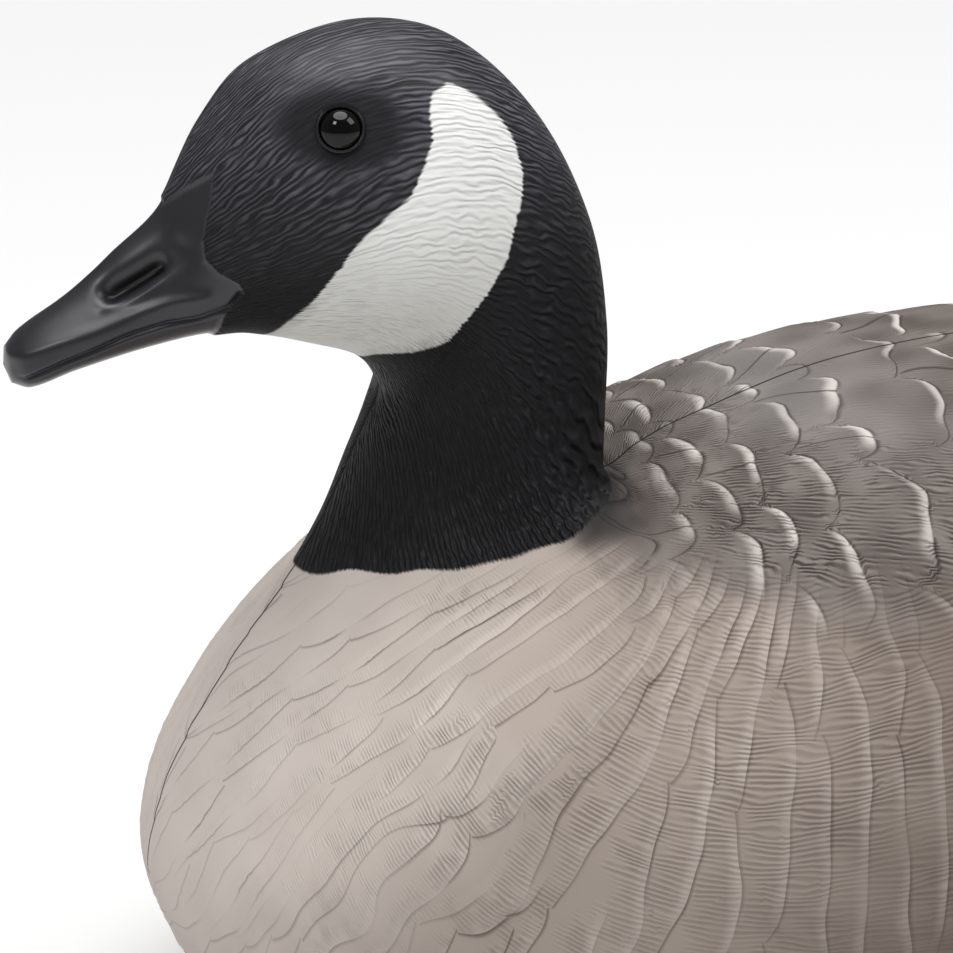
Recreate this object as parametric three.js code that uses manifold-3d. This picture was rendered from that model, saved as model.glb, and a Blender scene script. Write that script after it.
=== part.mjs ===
// Goose decoy: a moulded, life-size resting goose with its head up and two glassy eyes.
// Millimetres, +Z up. The bill points to -Y and the bird's left side is +X.
// The origin is under the middle of the bird, on the surface that it rests on.

import * as THREE from 'three';
import { mergeVertices } from 'three/addons/utils/BufferGeometryUtils.js';
import Module from 'manifold-3d';

// Driving sizes of the whole bird. The feather edges stand a little proud of the width.
const decoyLength = 577;
const decoyWidth = 264;
const decoyHeight = 271.4;
const tailTipRounding = 1;

// Eyes: a domed disc that sits in a round socket with a raised lid round it
const eyeDiameter = 10;
const eyeDomeHeight = 2.8;
const eyeDepth = 4.5;
const eyeProud = 0.5;
const socketClearance = 0.35;
const lidThickness = 1;
const lidProud = 0.8;

// Nostrils: a long shallow hollow on each side of the bill
const nostrilLength = 12;
const nostrilHeight = 5;
const nostrilDepth = 1.6;

// Feather carving: each row ends in a raised, scalloped edge
const backFeatherStep = 2.2;
const breastFeatherStep = 1.3;
const featherRows = 13;
const featherGrowth = 1.06;
const scallopShare = 0.3;
const edgeShare = 0.16;
const wingEdgeStep = 3.2;
const mouthGrooveDepth = 0.9;

// Folded wing tips that lie on the rump
const wingTipLength = 175;
const wingTipWidth = 46;
const wingTipThickness = 11;
const wingTipFeathers = 5;
const wingTipFromTail = 24;
const wingTipRootOut = 58;
const wingTipEndOut = 9;

// A rib is a cross-section between a point of the top line and a point of the under line,
// both [distance behind the bill tip, height]. It is widest, with this half width, at a level
// that is a share of its height. Its fullness over and under that level is 2 for an ellipse.
function rib(name, top, bottom, half, level, over, under) {
  return { name, top, bottom, half, level, over, under };
}

// The ribs from the bill tip to the tail tip are drawn on a pattern bird, which gives the proportions
const ribs = [
  rib('bill tip', [0.8, 195.8], [1.8, 186.8], 4.8, 0.40, 2.0, 2.0),
  rib('bill nail', [3.4, 199.4], [6.0, 185.8], 9.2, 0.38, 1.8, 2.2),
  rib('bill', [13.0, 206.8], [17.0, 189.6], 11.4, 0.36, 1.6, 2.3),
  rib('nostrils', [26.5, 217.4], [34.5, 194.2], 12.4, 0.34, 1.5, 2.3),
  rib('bill root', [38.5, 228.4], [50.0, 197.0], 15.2, 0.34, 1.5, 2.2),
  rib('forehead', [47.8, 248.4], [63.0, 196.0], 20.6, 0.38, 1.7, 2.1),
  rib('brow', [61.5, 262.2], [74.0, 193.6], 25.8, 0.42, 2.0, 2.1),
  rib('crown', [86.5, 271.4], [84.5, 190.0], 29.0, 0.43, 2.1, 2.2),
  rib('hind crown', [110.0, 267.6], [90.2, 184.6], 29.6, 0.44, 2.1, 2.1),
  rib('nape', [131.5, 248.4], [92.0, 179.2], 28.0, 0.46, 2.1, 2.1),
  rib('neck top', [145.4, 221.4], [88.8, 171.6], 26.6, 0.50, 2.1, 2.1),
  rib('neck', [150.0, 195.0], [84.2, 161.6], 27.0, 0.50, 2.1, 2.1),
  rib('neck base', [149.4, 171.0], [77.0, 146.2], 31.0, 0.52, 2.1, 1.8),
  rib('collar', [148.6, 160.0], [67.4, 131.0], 40.0, 0.53, 2.1, 1.5),
  rib('upper breast', [149.6, 156.6], [53.4, 111.4], 60.0, 0.53, 2.2, 1.4),
  rib('breast', [151.2, 156.6], [38.4, 84.5], 86.0, 0.51, 2.4, 1.6),
  rib('breast front', [152.8, 157.4], [32.8, 56.0], 104.0, 0.47, 2.5, 1.85),
  rib('breast foot', [155.0, 159.0], [57.0, 17.0], 114.5, 0.45, 2.5, 2.1),
  rib('belly front', [160.0, 162.6], [104.0, -3.0], 121.0, 0.45, 2.4, 2.3),
  rib('shoulders', [173.0, 168.6], [152.0, -5.0], 127.0, 0.44, 2.3, 2.4),
  rib('back', [211.0, 181.2], [207.0, -5.0], 131.0, 0.42, 2.2, 2.4),
  rib('mid back', [262.0, 187.0], [262.0, -5.0], 132.0, 0.41, 2.1, 2.4),
  rib('loin', [330.0, 184.0], [330.0, -5.0], 126.0, 0.42, 2.05, 2.3),
  rib('rump', [400.0, 171.0], [397.0, 8.0], 106.0, 0.48, 2.0, 2.1),
  rib('tail coverts', [460.0, 150.0], [455.0, 38.0], 77.0, 0.56, 1.9, 1.9),
  rib('tail root', [505.0, 132.0], [501.0, 68.0], 52.0, 0.62, 2.1, 1.8),
  rib('tail', [543.0, 120.6], [541.0, 96.0], 43.0, 0.60, 2.6, 2.2),
  rib('tail fan', [562.0, 114.8], [561.0, 102.0], 38.0, 0.55, 2.8, 2.6),
  rib('tail end', [572.0, 111.8], [571.6, 104.0], 28.0, 0.50, 2.8, 2.6),
  rib('tail tip', [576.0, 110.2], [575.8, 105.8], 13.0, 0.50, 2.6, 2.6),
];

// Lanes run along the bird from the dorsal line to the ventral line, three to a feather.
// bands: how many feathers wide each tract is on one side, and where it ends on the half girth.
const lanesPerFeather = 3;
const bands = [
  { name: 'wing',  feathers: 5, end: 0.315 },
  { name: 'flank', feathers: 5, end: 0.70 },
  { name: 'belly', feathers: 2, end: 1.0 },
];
const mouthLane = 28;

// Broad swellings and hollows of the head: [behind the bill tip, height], reach and rise
const mounds = [
  { name: 'brow ridge',  at: [73, 257],  reach: [11, 5],  rise: 1.6 },
  { name: 'eye hollow',  at: [76, 246],  reach: [13, 7],  rise: -1.5 },
  { name: 'lore hollow', at: [58, 232],  reach: [9, 12],  rise: -1.4 },
  { name: 'cheek',       at: [88, 216],  reach: [17, 13], rise: 2.6 },
  { name: 'throat fold', at: [95, 190],  reach: [9, 6],   rise: -1.2 },
  { name: 'bill side',   at: [27, 207],  reach: [13, 5],  rise: -1.3 },
];
const eyePlace = [78.6, 249.3];
const nostrilPlace = [31.5, 212.2];
const nostrilSlope = 0.72;

const pattern = {
  length: Math.max(...ribs.map(({ top }) => top[0])),
  width: 2 * Math.max(...ribs.map(({ half }) => half)),
  height: Math.max(...ribs.map(({ top }) => top[1])),
};
const stretch = {
  length: (decoyLength - tailTipRounding) / pattern.length,
  width: decoyWidth / pattern.width,
  height: decoyHeight / pattern.height,
};

function alongBird(y) {
  return y * stretch.length;
}

function aboveGround(z) {
  return z * stretch.height;
}

function smoothStep(from, to, value) {
  return THREE.MathUtils.smoothstep(value, from, to);
}

// Stations measure the way along the bird, in millimetres, on the longer side between two ribs

function sideWay(side, i) {
  const across = alongBird(ribs[i][side][0] - ribs[i - 1][side][0]);
  const upward = aboveGround(ribs[i][side][1] - ribs[i - 1][side][1]);
  return Math.hypot(across, upward);
}

const ribStations = [0];
for (let i = 1; i < ribs.length; i += 1) {
  ribStations.push(ribStations[i - 1] + Math.max(sideWay('top', i), sideWay('bottom', i)));
}

function stationOf(ribName) {
  return ribStations[ribs.findIndex((rib) => rib.name === ribName)];
}

// A smooth curve through one value of every rib
function curveThroughRibs(valueOf) {
  const values = ribs.map(valueOf);
  const last = values.length - 1;
  const slopes = values.map((value, i) => {
    const before = Math.max(i - 1, 0);
    const after = Math.min(i + 1, last);
    return (values[after] - values[before]) / (ribStations[after] - ribStations[before]);
  });
  return (station) => {
    const next = ribStations.findIndex((ribStation) => ribStation > station);
    const i = next < 0 ? last - 1 : Math.max(next - 1, 0);
    const span = ribStations[i + 1] - ribStations[i];
    const t = THREE.MathUtils.clamp((station - ribStations[i]) / span, 0, 1);
    const t2 = t * t;
    const t3 = t2 * t;
    return values[i] * (2 * t3 - 3 * t2 + 1)
      + values[i + 1] * (3 * t2 - 2 * t3)
      + span * (slopes[i] * (t3 - 2 * t2 + t) + slopes[i + 1] * (t3 - t2));
  };
}

const ribCurves = {
  topY: curveThroughRibs((rib) => alongBird(rib.top[0])),
  topZ: curveThroughRibs((rib) => aboveGround(rib.top[1])),
  bottomY: curveThroughRibs((rib) => alongBird(rib.bottom[0])),
  bottomZ: curveThroughRibs((rib) => aboveGround(rib.bottom[1])),
  half: curveThroughRibs((rib) => rib.half * stretch.width),
  level: curveThroughRibs((rib) => rib.level),
  over: curveThroughRibs((rib) => rib.over),
  under: curveThroughRibs((rib) => rib.under),
};

// The left half of the section at a station, as points [out from the middle, share of the height]
function halfSection(station) {
  const stepsPerQuarter = 24;
  const half = ribCurves.half(station);
  const level = ribCurves.level(station);
  const over = 2 / ribCurves.over(station);
  const under = 2 / ribCurves.under(station);
  const points = [];
  for (let i = 0; i <= stepsPerQuarter; i += 1) {
    const angle = (i / stepsPerQuarter) * Math.PI / 2;
    points.push([half * Math.sin(angle) ** over, level + (1 - level) * Math.cos(angle) ** over]);
  }
  for (let i = stepsPerQuarter - 1; i >= 0; i -= 1) {
    const angle = (i / stepsPerQuarter) * Math.PI / 2;
    points.push([half * Math.sin(angle) ** under, level - level * Math.cos(angle) ** under]);
  }
  return points;
}

// The smooth form: girth 0 is the dorsal line, 1 the ventral line, measured along the half section
function formPoint(station, girth) {
  const top = new THREE.Vector3(0, ribCurves.topY(station), ribCurves.topZ(station));
  const bottom = new THREE.Vector3(0, ribCurves.bottomY(station), ribCurves.bottomZ(station));
  const points = halfSection(station).map(([out, share]) => {
    const point = bottom.clone().lerp(top, share);
    point.x = out;
    return point;
  });
  const reached = [0];
  for (let i = 1; i < points.length; i += 1) {
    reached.push(reached[i - 1] + points[i].distanceTo(points[i - 1]));
  }
  const wanted = girth * reached[reached.length - 1];
  let i = 1;
  while (i < points.length - 1 && reached[i] < wanted) {
    i += 1;
  }
  const share = (wanted - reached[i - 1]) / (reached[i] - reached[i - 1]);
  return points[i - 1].clone().lerp(points[i], THREE.MathUtils.clamp(share, 0, 1));
}

function formNormal(station, girth) {
  const alongStep = 0.8;
  const girthStep = 0.012;
  const ahead = formPoint(station - alongStep, girth);
  const behind = formPoint(station + alongStep, girth);
  const above = formPoint(station, Math.max(girth - girthStep, 0));
  const below = formPoint(station, Math.min(girth + girthStep, 1));
  const normal = below.sub(above).cross(behind.sub(ahead));
  if (girth === 0 || girth === 1) {
    normal.x = 0;
  }
  return normal.normalize();
}

function moundRise(point) {
  return mounds.reduce((rise, { at, reach, rise: height }) => {
    const dy = (point.y - alongBird(at[0])) / alongBird(reach[0]);
    const dz = (point.z - aboveGround(at[1])) / aboveGround(reach[1]);
    return rise + height * Math.exp(-(dy * dy + dz * dz) / 2);
  }, 0);
}

// The form with its swellings and hollows, and the way out of its surface there
function surfaceAt(station, girth) {
  const point = formPoint(station, girth);
  const normal = formNormal(station, girth);
  point.addScaledVector(normal, moundRise(point));
  return { point, normal };
}

// The lanes of one side and the tract that each belongs to

const lanes = [{ girth: 0, tract: 'wing' }];
bands.forEach((band, index) => {
  const start = index === 0 ? 0 : bands[index - 1].end;
  const count = band.feathers * lanesPerFeather;
  for (let i = 1; i <= count; i += 1) {
    lanes.push({ girth: start + (band.end - start) * (i / count), tract: band.name });
  }
});

// Rings of points round the bird: plain ones on the bill, head, neck and tail,
// and a pair for each row of feathers, one on its raised edge and one just behind it

const stations = {
  billRoot: stationOf('bill root'),
  brow: stationOf('brow'),
  collar: stationOf('collar'),
  breast: stationOf('breast'),
  shoulders: stationOf('shoulders'),
  loin: stationOf('loin'),
  tailRoot: stationOf('tail root'),
  tailTip: stationOf('tail tip'),
};

const plainRings = { bill: 6, face: 5, headAndNeck: 13, tail: 3 };
const rings = [];

function addPlainRings(from, to, count) {
  for (let i = 0; i < count; i += 1) {
    rings.push({ station: from + (to - from) * (i / count) });
  }
}

addPlainRings(0, stations.billRoot, plainRings.bill);
addPlainRings(stations.billRoot, stations.brow, plainRings.face);
addPlainRings(stations.brow, stations.collar, plainRings.headAndNeck);

const rowsLength = stations.tailRoot - stations.collar;
const growthSum = (featherGrowth ** featherRows - 1) / (featherGrowth - 1);
let rowEnd = stations.collar;
for (let row = 0; row < featherRows; row += 1) {
  const rowLength = (rowsLength / growthSum) * featherGrowth ** row;
  rings.push({ station: rowEnd, row, rowLength, raised: true });
  rings.push({ station: rowEnd + edgeShare * rowLength, row, rowLength, raised: false });
  rowEnd += rowLength;
}
addPlainRings(rowEnd, stations.tailTip, plainRings.tail);
rings.push({ station: stations.tailTip });

// The carving fades in below the collar and out on the flat underside and at the tail
function carvingStrength(station, girth) {
  const collarFade = smoothStep(stations.collar - 10, stations.breast, station);
  const tailFade = 1 - smoothStep(stations.loin, stations.tailRoot, station) * 0.5;
  const behindBreast = smoothStep(stations.breast, stations.shoulders, station);
  const underside = smoothStep(0.66, 0.80, girth) * behindBreast;
  return (0.25 + 0.75 * collarFade) * tailFade * (1 - underside);
}

// The folded wing stands proud of the flank
function wingRise(station, lane) {
  if (lane.tract !== 'wing') {
    return 0;
  }
  const rise = smoothStep(stations.breast, stations.shoulders + 60, station);
  const fall = smoothStep(stations.loin + 30, stations.tailRoot, station);
  const outward = smoothStep(0, 0.25, lane.girth);
  return wingEdgeStep * rise * (1 - fall) * outward;
}

// The line between the two halves of the bill
function mouthRise(station, laneIndex) {
  if (laneIndex !== mouthLane) {
    return 0;
  }
  const front = smoothStep(4, 14, station);
  const back = smoothStep(stations.billRoot, stations.billRoot + 9, station);
  return -mouthGrooveDepth * front * (1 - back);
}

function ringPoint(ring, lane, laneIndex) {
  let { station } = ring;
  let rise = wingRise(station, lane) + mouthRise(station, laneIndex);
  if (ring.row !== undefined) {
    const strength = carvingStrength(station, lane.girth);
    const phase = laneIndex / lanesPerFeather + (ring.row % 2) / 2;
    const here = formPoint(station, lane.girth);
    const localLength = here.distanceTo(formPoint(station + ring.rowLength, lane.girth));
    const fullStep = lane.tract === 'wing' ? backFeatherStep : breastFeatherStep;
    const scallop = scallopShare * ring.rowLength * strength;
    station += scallop * (Math.cos(2 * Math.PI * phase) - 1) / 2;
    rise += ring.raised ? strength * Math.min(fullStep, localLength / 10) : 0;
  }
  const { point, normal } = surfaceAt(station, lane.girth);
  point.addScaledVector(normal, rise);
  point.z = Math.max(point.z, 0);
  if (lane.girth === 0 || lane.girth === 1) {
    point.x = 0;
  }
  return point;
}

// A closed body from rings of equal count and a point at each end.
// The faces of the second half of a ring are split the other way, so that a mirrored ring stays even.
function closedLoft(fullRings, startPoint, endPoint) {
  const count = fullRings[0].length;
  const positions = [startPoint, ...fullRings.flat(), endPoint].flatMap((point) => point.toArray());
  const endIndex = positions.length / 3 - 1;
  const lastRing = fullRings.length - 1;
  const at = (ring, i) => 1 + ring * count + (i % count);
  const indices = [];
  for (let i = 0; i < count; i += 1) {
    indices.push(0, at(0, i + 1), at(0, i));
    indices.push(endIndex, at(lastRing, i), at(lastRing, i + 1));
  }
  for (let ring = 0; ring < lastRing; ring += 1) {
    for (let i = 0; i < count; i += 1) {
      const a = at(ring, i);
      const b = at(ring, i + 1);
      const c = at(ring + 1, i + 1);
      const d = at(ring + 1, i);
      if (i < count / 2) {
        indices.push(a, b, c, a, c, d);
      } else {
        indices.push(a, b, d, b, c, d);
      }
    }
  }
  const geometry = new THREE.BufferGeometry();
  geometry.setAttribute('position', new THREE.Float32BufferAttribute(positions, 3));
  geometry.setIndex(indices);
  return geometry;
}

function birdForm() {
  const fullRings = rings.map((ring) => {
    const left = lanes.map((lane, i) => ringPoint(ring, lane, i));
    const right = left.slice(1, -1).reverse().map(({ x, y, z }) => new THREE.Vector3(-x, y, z));
    return [...left, ...right];
  });
  const middleHeight = ({ top, bottom }) => aboveGround((top[1] + bottom[1]) / 2);
  const billEnd = new THREE.Vector3(0, 0, middleHeight(ribs[0]));
  const tailEnd = new THREE.Vector3(0, decoyLength, middleHeight(ribs[ribs.length - 1]));
  return closedLoft(fullRings, billEnd, tailEnd);
}

// The place on the left side of the head or bill that lies at a given [behind the bill tip, height]
function placeOnSide([y, z], fromStation, toStation) {
  const steps = 120;
  let best = null;
  for (let i = 0; i <= steps; i += 1) {
    const station = fromStation + (toStation - fromStation) * (i / steps);
    for (let k = 1; k < steps; k += 1) {
      const girth = k / steps;
      const point = formPoint(station, girth);
      const miss = Math.hypot(point.y - alongBird(y), point.z - aboveGround(z));
      if (best === null || miss < best.miss) {
        best = { miss, station, girth };
      }
    }
  }
  return surfaceAt(best.station, best.girth);
}

// Eyes, their sockets and lids, turned from the lathe's Y axis to the way out of the head

const eyeRadius = eyeDiameter / 2;
const socketRadius = eyeRadius + socketClearance;
const eyeSides = 18;
const eyeSeat = placeOnSide(eyePlace, stations.brow - 15, stations.brow + 25);

function eyeForm() {
  const domeRadius = (eyeRadius ** 2 + eyeDomeHeight ** 2) / (2 * eyeDomeHeight);
  const domeSteps = 5;
  const profile = [new THREE.Vector2(0, -eyeDepth), new THREE.Vector2(eyeRadius, -eyeDepth)];
  for (let i = 0; i <= domeSteps; i += 1) {
    const out = i === domeSteps ? 0 : eyeRadius * Math.cos((i / domeSteps) * Math.PI / 2);
    const up = eyeDomeHeight - domeRadius + Math.sqrt(domeRadius ** 2 - out ** 2);
    profile.push(new THREE.Vector2(out, up));
  }
  return new THREE.LatheGeometry(profile, eyeSides);
}

function socketForm() {
  const mouth = eyeDomeHeight + lidThickness + 2;
  return new THREE.LatheGeometry([
    new THREE.Vector2(0, -eyeDepth - socketClearance),
    new THREE.Vector2(socketRadius, -eyeDepth - socketClearance),
    new THREE.Vector2(socketRadius, mouth),
    new THREE.Vector2(0, mouth),
  ], eyeSides);
}

function lidForm() {
  const inner = socketRadius - socketClearance / 2;
  const outer = socketRadius + lidThickness;
  const crest = (inner + outer) / 2;
  return new THREE.LatheGeometry([
    new THREE.Vector2(inner, -eyeDepth / 2),
    new THREE.Vector2(outer, -eyeDepth / 2),
    new THREE.Vector2(outer, -eyeProud),
    new THREE.Vector2(crest, lidProud),
    new THREE.Vector2(inner, lidProud * 0.4),
    new THREE.Vector2(inner, -eyeDepth / 2),
  ], eyeSides);
}

function eyePose(side) {
  const normal = eyeSeat.normal.clone();
  const position = eyeSeat.point.clone().addScaledVector(normal, eyeProud);
  normal.x *= side;
  position.x *= side;
  const turn = new THREE.Quaternion().setFromUnitVectors(new THREE.Vector3(0, 1, 0), normal);
  const matrix = new THREE.Matrix4().compose(position, turn, new THREE.Vector3(1, 1, 1));
  return { position, turn, matrix };
}

// Nostrils: the outline of an egg laid along the bill, sunk to half its thickness

const nostrilSeat = placeOnSide(nostrilPlace, stationOf('bill'), stations.billRoot);

function nostrilMatrix(side) {
  const along = new THREE.Vector3(0, 1, nostrilSlope).normalize();
  const out = nostrilSeat.normal.clone();
  along.addScaledVector(out, -along.dot(out)).normalize();
  const across = out.clone().cross(along);
  const matrix = new THREE.Matrix4().makeBasis(along, across, out);
  matrix.scale(new THREE.Vector3(nostrilLength / 2, nostrilHeight / 2, nostrilDepth));
  matrix.setPosition(nostrilSeat.point);
  return side > 0 ? matrix : matrix.premultiply(new THREE.Matrix4().makeScale(-1, 1, 1));
}

// Folded wing tips: long blades on the rump whose outer edge steps in at the end of each feather

function valueWhere(curve, wanted, from, to) {
  let low = from;
  let high = to;
  for (let i = 0; i < 40; i += 1) {
    const middle = (low + high) / 2;
    if (curve(middle) < wanted) {
      low = middle;
    } else {
      high = middle;
    }
  }
  return (low + high) / 2;
}

function onBack(x, y) {
  const station = valueWhere(ribCurves.topY, y, stations.shoulders, stations.tailTip);
  const girth = valueWhere((value) => formPoint(station, value).x, x, 0, 0.45);
  return surfaceAt(station, girth);
}

function wingTipForm() {
  const endY = decoyLength - wingTipFromTail;
  const startY = endY - wingTipLength;
  const place = (along) => {
    const x = THREE.MathUtils.lerp(wingTipRootOut, wingTipEndOut, along);
    return onBack(x, THREE.MathUtils.lerp(startY, endY, along));
  };
  const sides = 10;
  const bladeRings = [];
  for (let feather = 0; feather < wingTipFeathers; feather += 1) {
    const width = wingTipWidth * (1 - feather / (wingTipFeathers + 0.6));
    for (const share of [0.03, 0.97]) {
      const along = (feather + share) / wingTipFeathers;
      const { point, normal } = place(along);
      const ahead = place(Math.min(along + 0.02, 1)).point;
      const outward = normal.clone().cross(ahead.sub(point)).normalize();
      outward.multiplyScalar(Math.sign(outward.x));
      const thickness = wingTipThickness * (1 - 0.55 * along);
      const sunk = wingTipThickness * 0.6 * (1 - smoothStep(0, 0.3, along));
      const ring = [];
      for (let i = 0; i < sides; i += 1) {
        const angle = (i / sides) * 2 * Math.PI;
        const out = Math.cos(angle) > 0 ? width / 2 : wingTipWidth * 0.5 * (1 - 0.75 * along);
        ring.push(point.clone()
          .addScaledVector(outward, out * Math.cos(angle))
          .addScaledVector(normal, (thickness / 2) * Math.sin(angle) - sunk));
      }
      bladeRings.push(ring);
    }
  }
  return closedLoft(bladeRings, place(0).point, place(1).point);
}

// Solids that are joined and cut

const wasm = await Module();
wasm.setup();

function toSolid(geometry, matrix = new THREE.Matrix4()) {
  const placed = geometry.clone().applyMatrix4(matrix);
  placed.deleteAttribute('normal');
  placed.deleteAttribute('uv');
  const merged = mergeVertices(placed, 1e-4);
  const corners = merged.index.array;
  const triangles = [];
  for (let i = 0; i < corners.length; i += 3) {
    const [a, b, c] = corners.slice(i, i + 3);
    if (a !== b && b !== c && c !== a) {
      triangles.push(a, b, c);
    }
  }
  const mesh = (triVerts) => new wasm.Mesh({
    numProp: 3,
    vertProperties: new Float32Array(merged.attributes.position.array),
    triVerts: new Uint32Array(triVerts),
  });
  const solid = new wasm.Manifold(mesh(triangles));
  return solid.volume() > 0 ? solid : new wasm.Manifold(mesh(triangles.reverse()));
}

function toGeometry(solid) {
  const mesh = solid.getMesh();
  const geometry = new THREE.BufferGeometry();
  geometry.setAttribute('position', new THREE.BufferAttribute(mesh.vertProperties, 3));
  geometry.setIndex(new THREE.BufferAttribute(mesh.triVerts, 1));
  return geometry;
}

const mirror = new THREE.Matrix4().makeScale(-1, 1, 1);
const nostrilEgg = new THREE.SphereGeometry(1, 12, 8);
const wingTip = wingTipForm();

let body = toSolid(birdForm());
body = body.add(toSolid(wingTip)).add(toSolid(wingTip, mirror));
for (const side of [1, -1]) {
  const { matrix } = eyePose(side);
  body = body.add(toSolid(lidForm(), matrix));
  body = body.subtract(toSolid(socketForm(), matrix));
  body = body.subtract(toSolid(nostrilEgg, nostrilMatrix(side)));
}

// The assembled decoy, with its origin under the middle

const bodyMaterial = new THREE.MeshStandardMaterial({ color: 0x8f857e, roughness: 0.7, metalness: 0 });
const eyeMaterial = new THREE.MeshStandardMaterial({ color: 0x1c120c, roughness: 0.06, metalness: 0 });

const group = new THREE.Group();
const bird = new THREE.Group();
bird.position.y = -decoyLength / 2;
group.add(bird);

const bodyMesh = new THREE.Mesh(toGeometry(body), bodyMaterial);
bodyMesh.name = 'decoy_body';
bird.add(bodyMesh);

for (const [name, side] of [['eye_left', 1], ['eye_right', -1]]) {
  const eye = new THREE.Mesh(eyeForm(), eyeMaterial);
  const { position, turn } = eyePose(side);
  eye.name = name;
  eye.position.copy(position);
  eye.quaternion.copy(turn);
  bird.add(eye);
}

export default group;
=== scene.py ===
# %% [markdown]
# # A goose decoy in Blender
# The object is a life-size hunting decoy: a hollow goose moulded in plastic, with feathers in low
# relief and airbrushed matte paint. The solids give its outline. This lesson gives it the fine
# relief and the paint, and it shows how a pattern can follow a curved surface.

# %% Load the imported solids
import math

import bpy
import numpy as np
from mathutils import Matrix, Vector
from mathutils.bvhtree import BVHTree


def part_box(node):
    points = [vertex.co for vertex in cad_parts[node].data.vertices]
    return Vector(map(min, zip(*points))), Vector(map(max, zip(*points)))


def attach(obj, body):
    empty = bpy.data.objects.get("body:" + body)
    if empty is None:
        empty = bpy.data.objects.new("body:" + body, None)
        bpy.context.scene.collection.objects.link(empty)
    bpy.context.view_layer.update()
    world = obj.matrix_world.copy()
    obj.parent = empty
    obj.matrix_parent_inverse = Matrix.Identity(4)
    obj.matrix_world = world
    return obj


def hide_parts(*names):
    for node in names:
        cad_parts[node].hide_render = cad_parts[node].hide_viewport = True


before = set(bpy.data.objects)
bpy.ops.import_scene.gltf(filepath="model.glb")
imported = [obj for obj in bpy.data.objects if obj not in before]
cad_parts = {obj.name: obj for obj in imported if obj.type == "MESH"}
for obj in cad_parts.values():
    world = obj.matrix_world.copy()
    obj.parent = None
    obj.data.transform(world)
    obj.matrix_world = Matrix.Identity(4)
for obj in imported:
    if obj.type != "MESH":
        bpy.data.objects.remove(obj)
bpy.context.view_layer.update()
hull_low, hull_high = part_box("decoy_body")
print("solid body, mm:", [round(1000 * side) for side in hull_high - hull_low])

# %% [markdown]
# ## Camera
# The photograph was taken from the bird's left, a little ahead of it and a little above, with a
# long lens. A long lens keeps the bill and the back at nearly the same scale. The camera looks at
# a point in the middle plane, so its place follows from two angles and a distance.

# %% Camera
PHOTO_SIDE = 953
PIXELS_PER_METRE = 4000
SENSOR = 0.036
look_at = Vector((0, hull_low.y + 0.1175, 0.1557))
azimuth, elevation, distance = math.radians(76), math.radians(15), 1.0
to_camera = Vector((
    math.sin(azimuth) * math.cos(elevation),
    -math.cos(azimuth) * math.cos(elevation),
    math.sin(elevation),
))
bpy.ops.object.camera_add(location=look_at + distance * to_camera)
camera = bpy.context.object
camera.name = "camera"
camera.rotation_euler = to_camera.to_track_quat("Z", "Y").to_euler()
camera.data.sensor_width = 1000 * SENSOR
camera.data.lens = 1000 * SENSOR * distance * PIXELS_PER_METRE / PHOTO_SIDE
camera.data.clip_start = 0.01
bpy.context.scene.camera = camera
print("lens, mm:", round(camera.data.lens, 1))

# %% [markdown]
# ## Floor and lights
# A product photographer sets a dull object like this on a pale sweep under a large soft light. Here
# a wide sun of 50 degrees is that soft light. A smaller one from ahead draws the glint in the eye,
# and one from behind lifts the line of the back.

# %% Floor and lights
bpy.ops.mesh.primitive_plane_add(size=16)
floor = bpy.context.object
floor.name = "floor"

# Two angles in degrees, distance and size in metres, power in watts
SOFT_LIGHTS = {"key_light": (40, 48, 1.6, 0.35, 5), "rim_light": (150, 48, 1.8, 0.8, 8)}


def add_soft_light(name, azimuth, elevation, distance, size, power):
    """An area light that looks at the bird from two angles and a distance."""
    a, e = math.radians(azimuth), math.radians(elevation)
    way = Vector((math.sin(a) * math.cos(e), -math.cos(a) * math.cos(e), math.sin(e)))
    bpy.ops.object.light_add(type="AREA", location=look_at + distance * way)
    light = bpy.context.object
    light.name = name
    light.rotation_euler = way.to_track_quat("Z", "Y").to_euler()
    light.data.shape = "SQUARE"
    light.data.size = size
    light.data.energy = power


for name, setting in SOFT_LIGHTS.items():
    add_soft_light(name, *setting)
bpy.ops.object.light_add(type="SUN")
sun = bpy.context.object
sun.name = "ceiling_light"
sun.data.energy = 2.7
sun.data.angle = math.radians(50)
world = bpy.data.worlds.new("studio")
world.use_nodes = True
world.node_tree.nodes["Background"].inputs["Color"].default_value = (1, 1, 1, 1)
world.node_tree.nodes["Background"].inputs["Strength"].default_value = 0.20
bpy.context.scene.world = world
bpy.context.scene.view_settings.view_transform = "Standard"
print("lights:", [*SOFT_LIGHTS, sun.name])

# %% [markdown]
# ## The ribs
# The hull is a free form, so it is drawn as a boat is: as ribs along a keel line. Each rib is an
# oval between a point of the top line and a point of the under line. These are the ribs of the
# solid, in millimetres, so the finer hull keeps its form.

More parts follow.
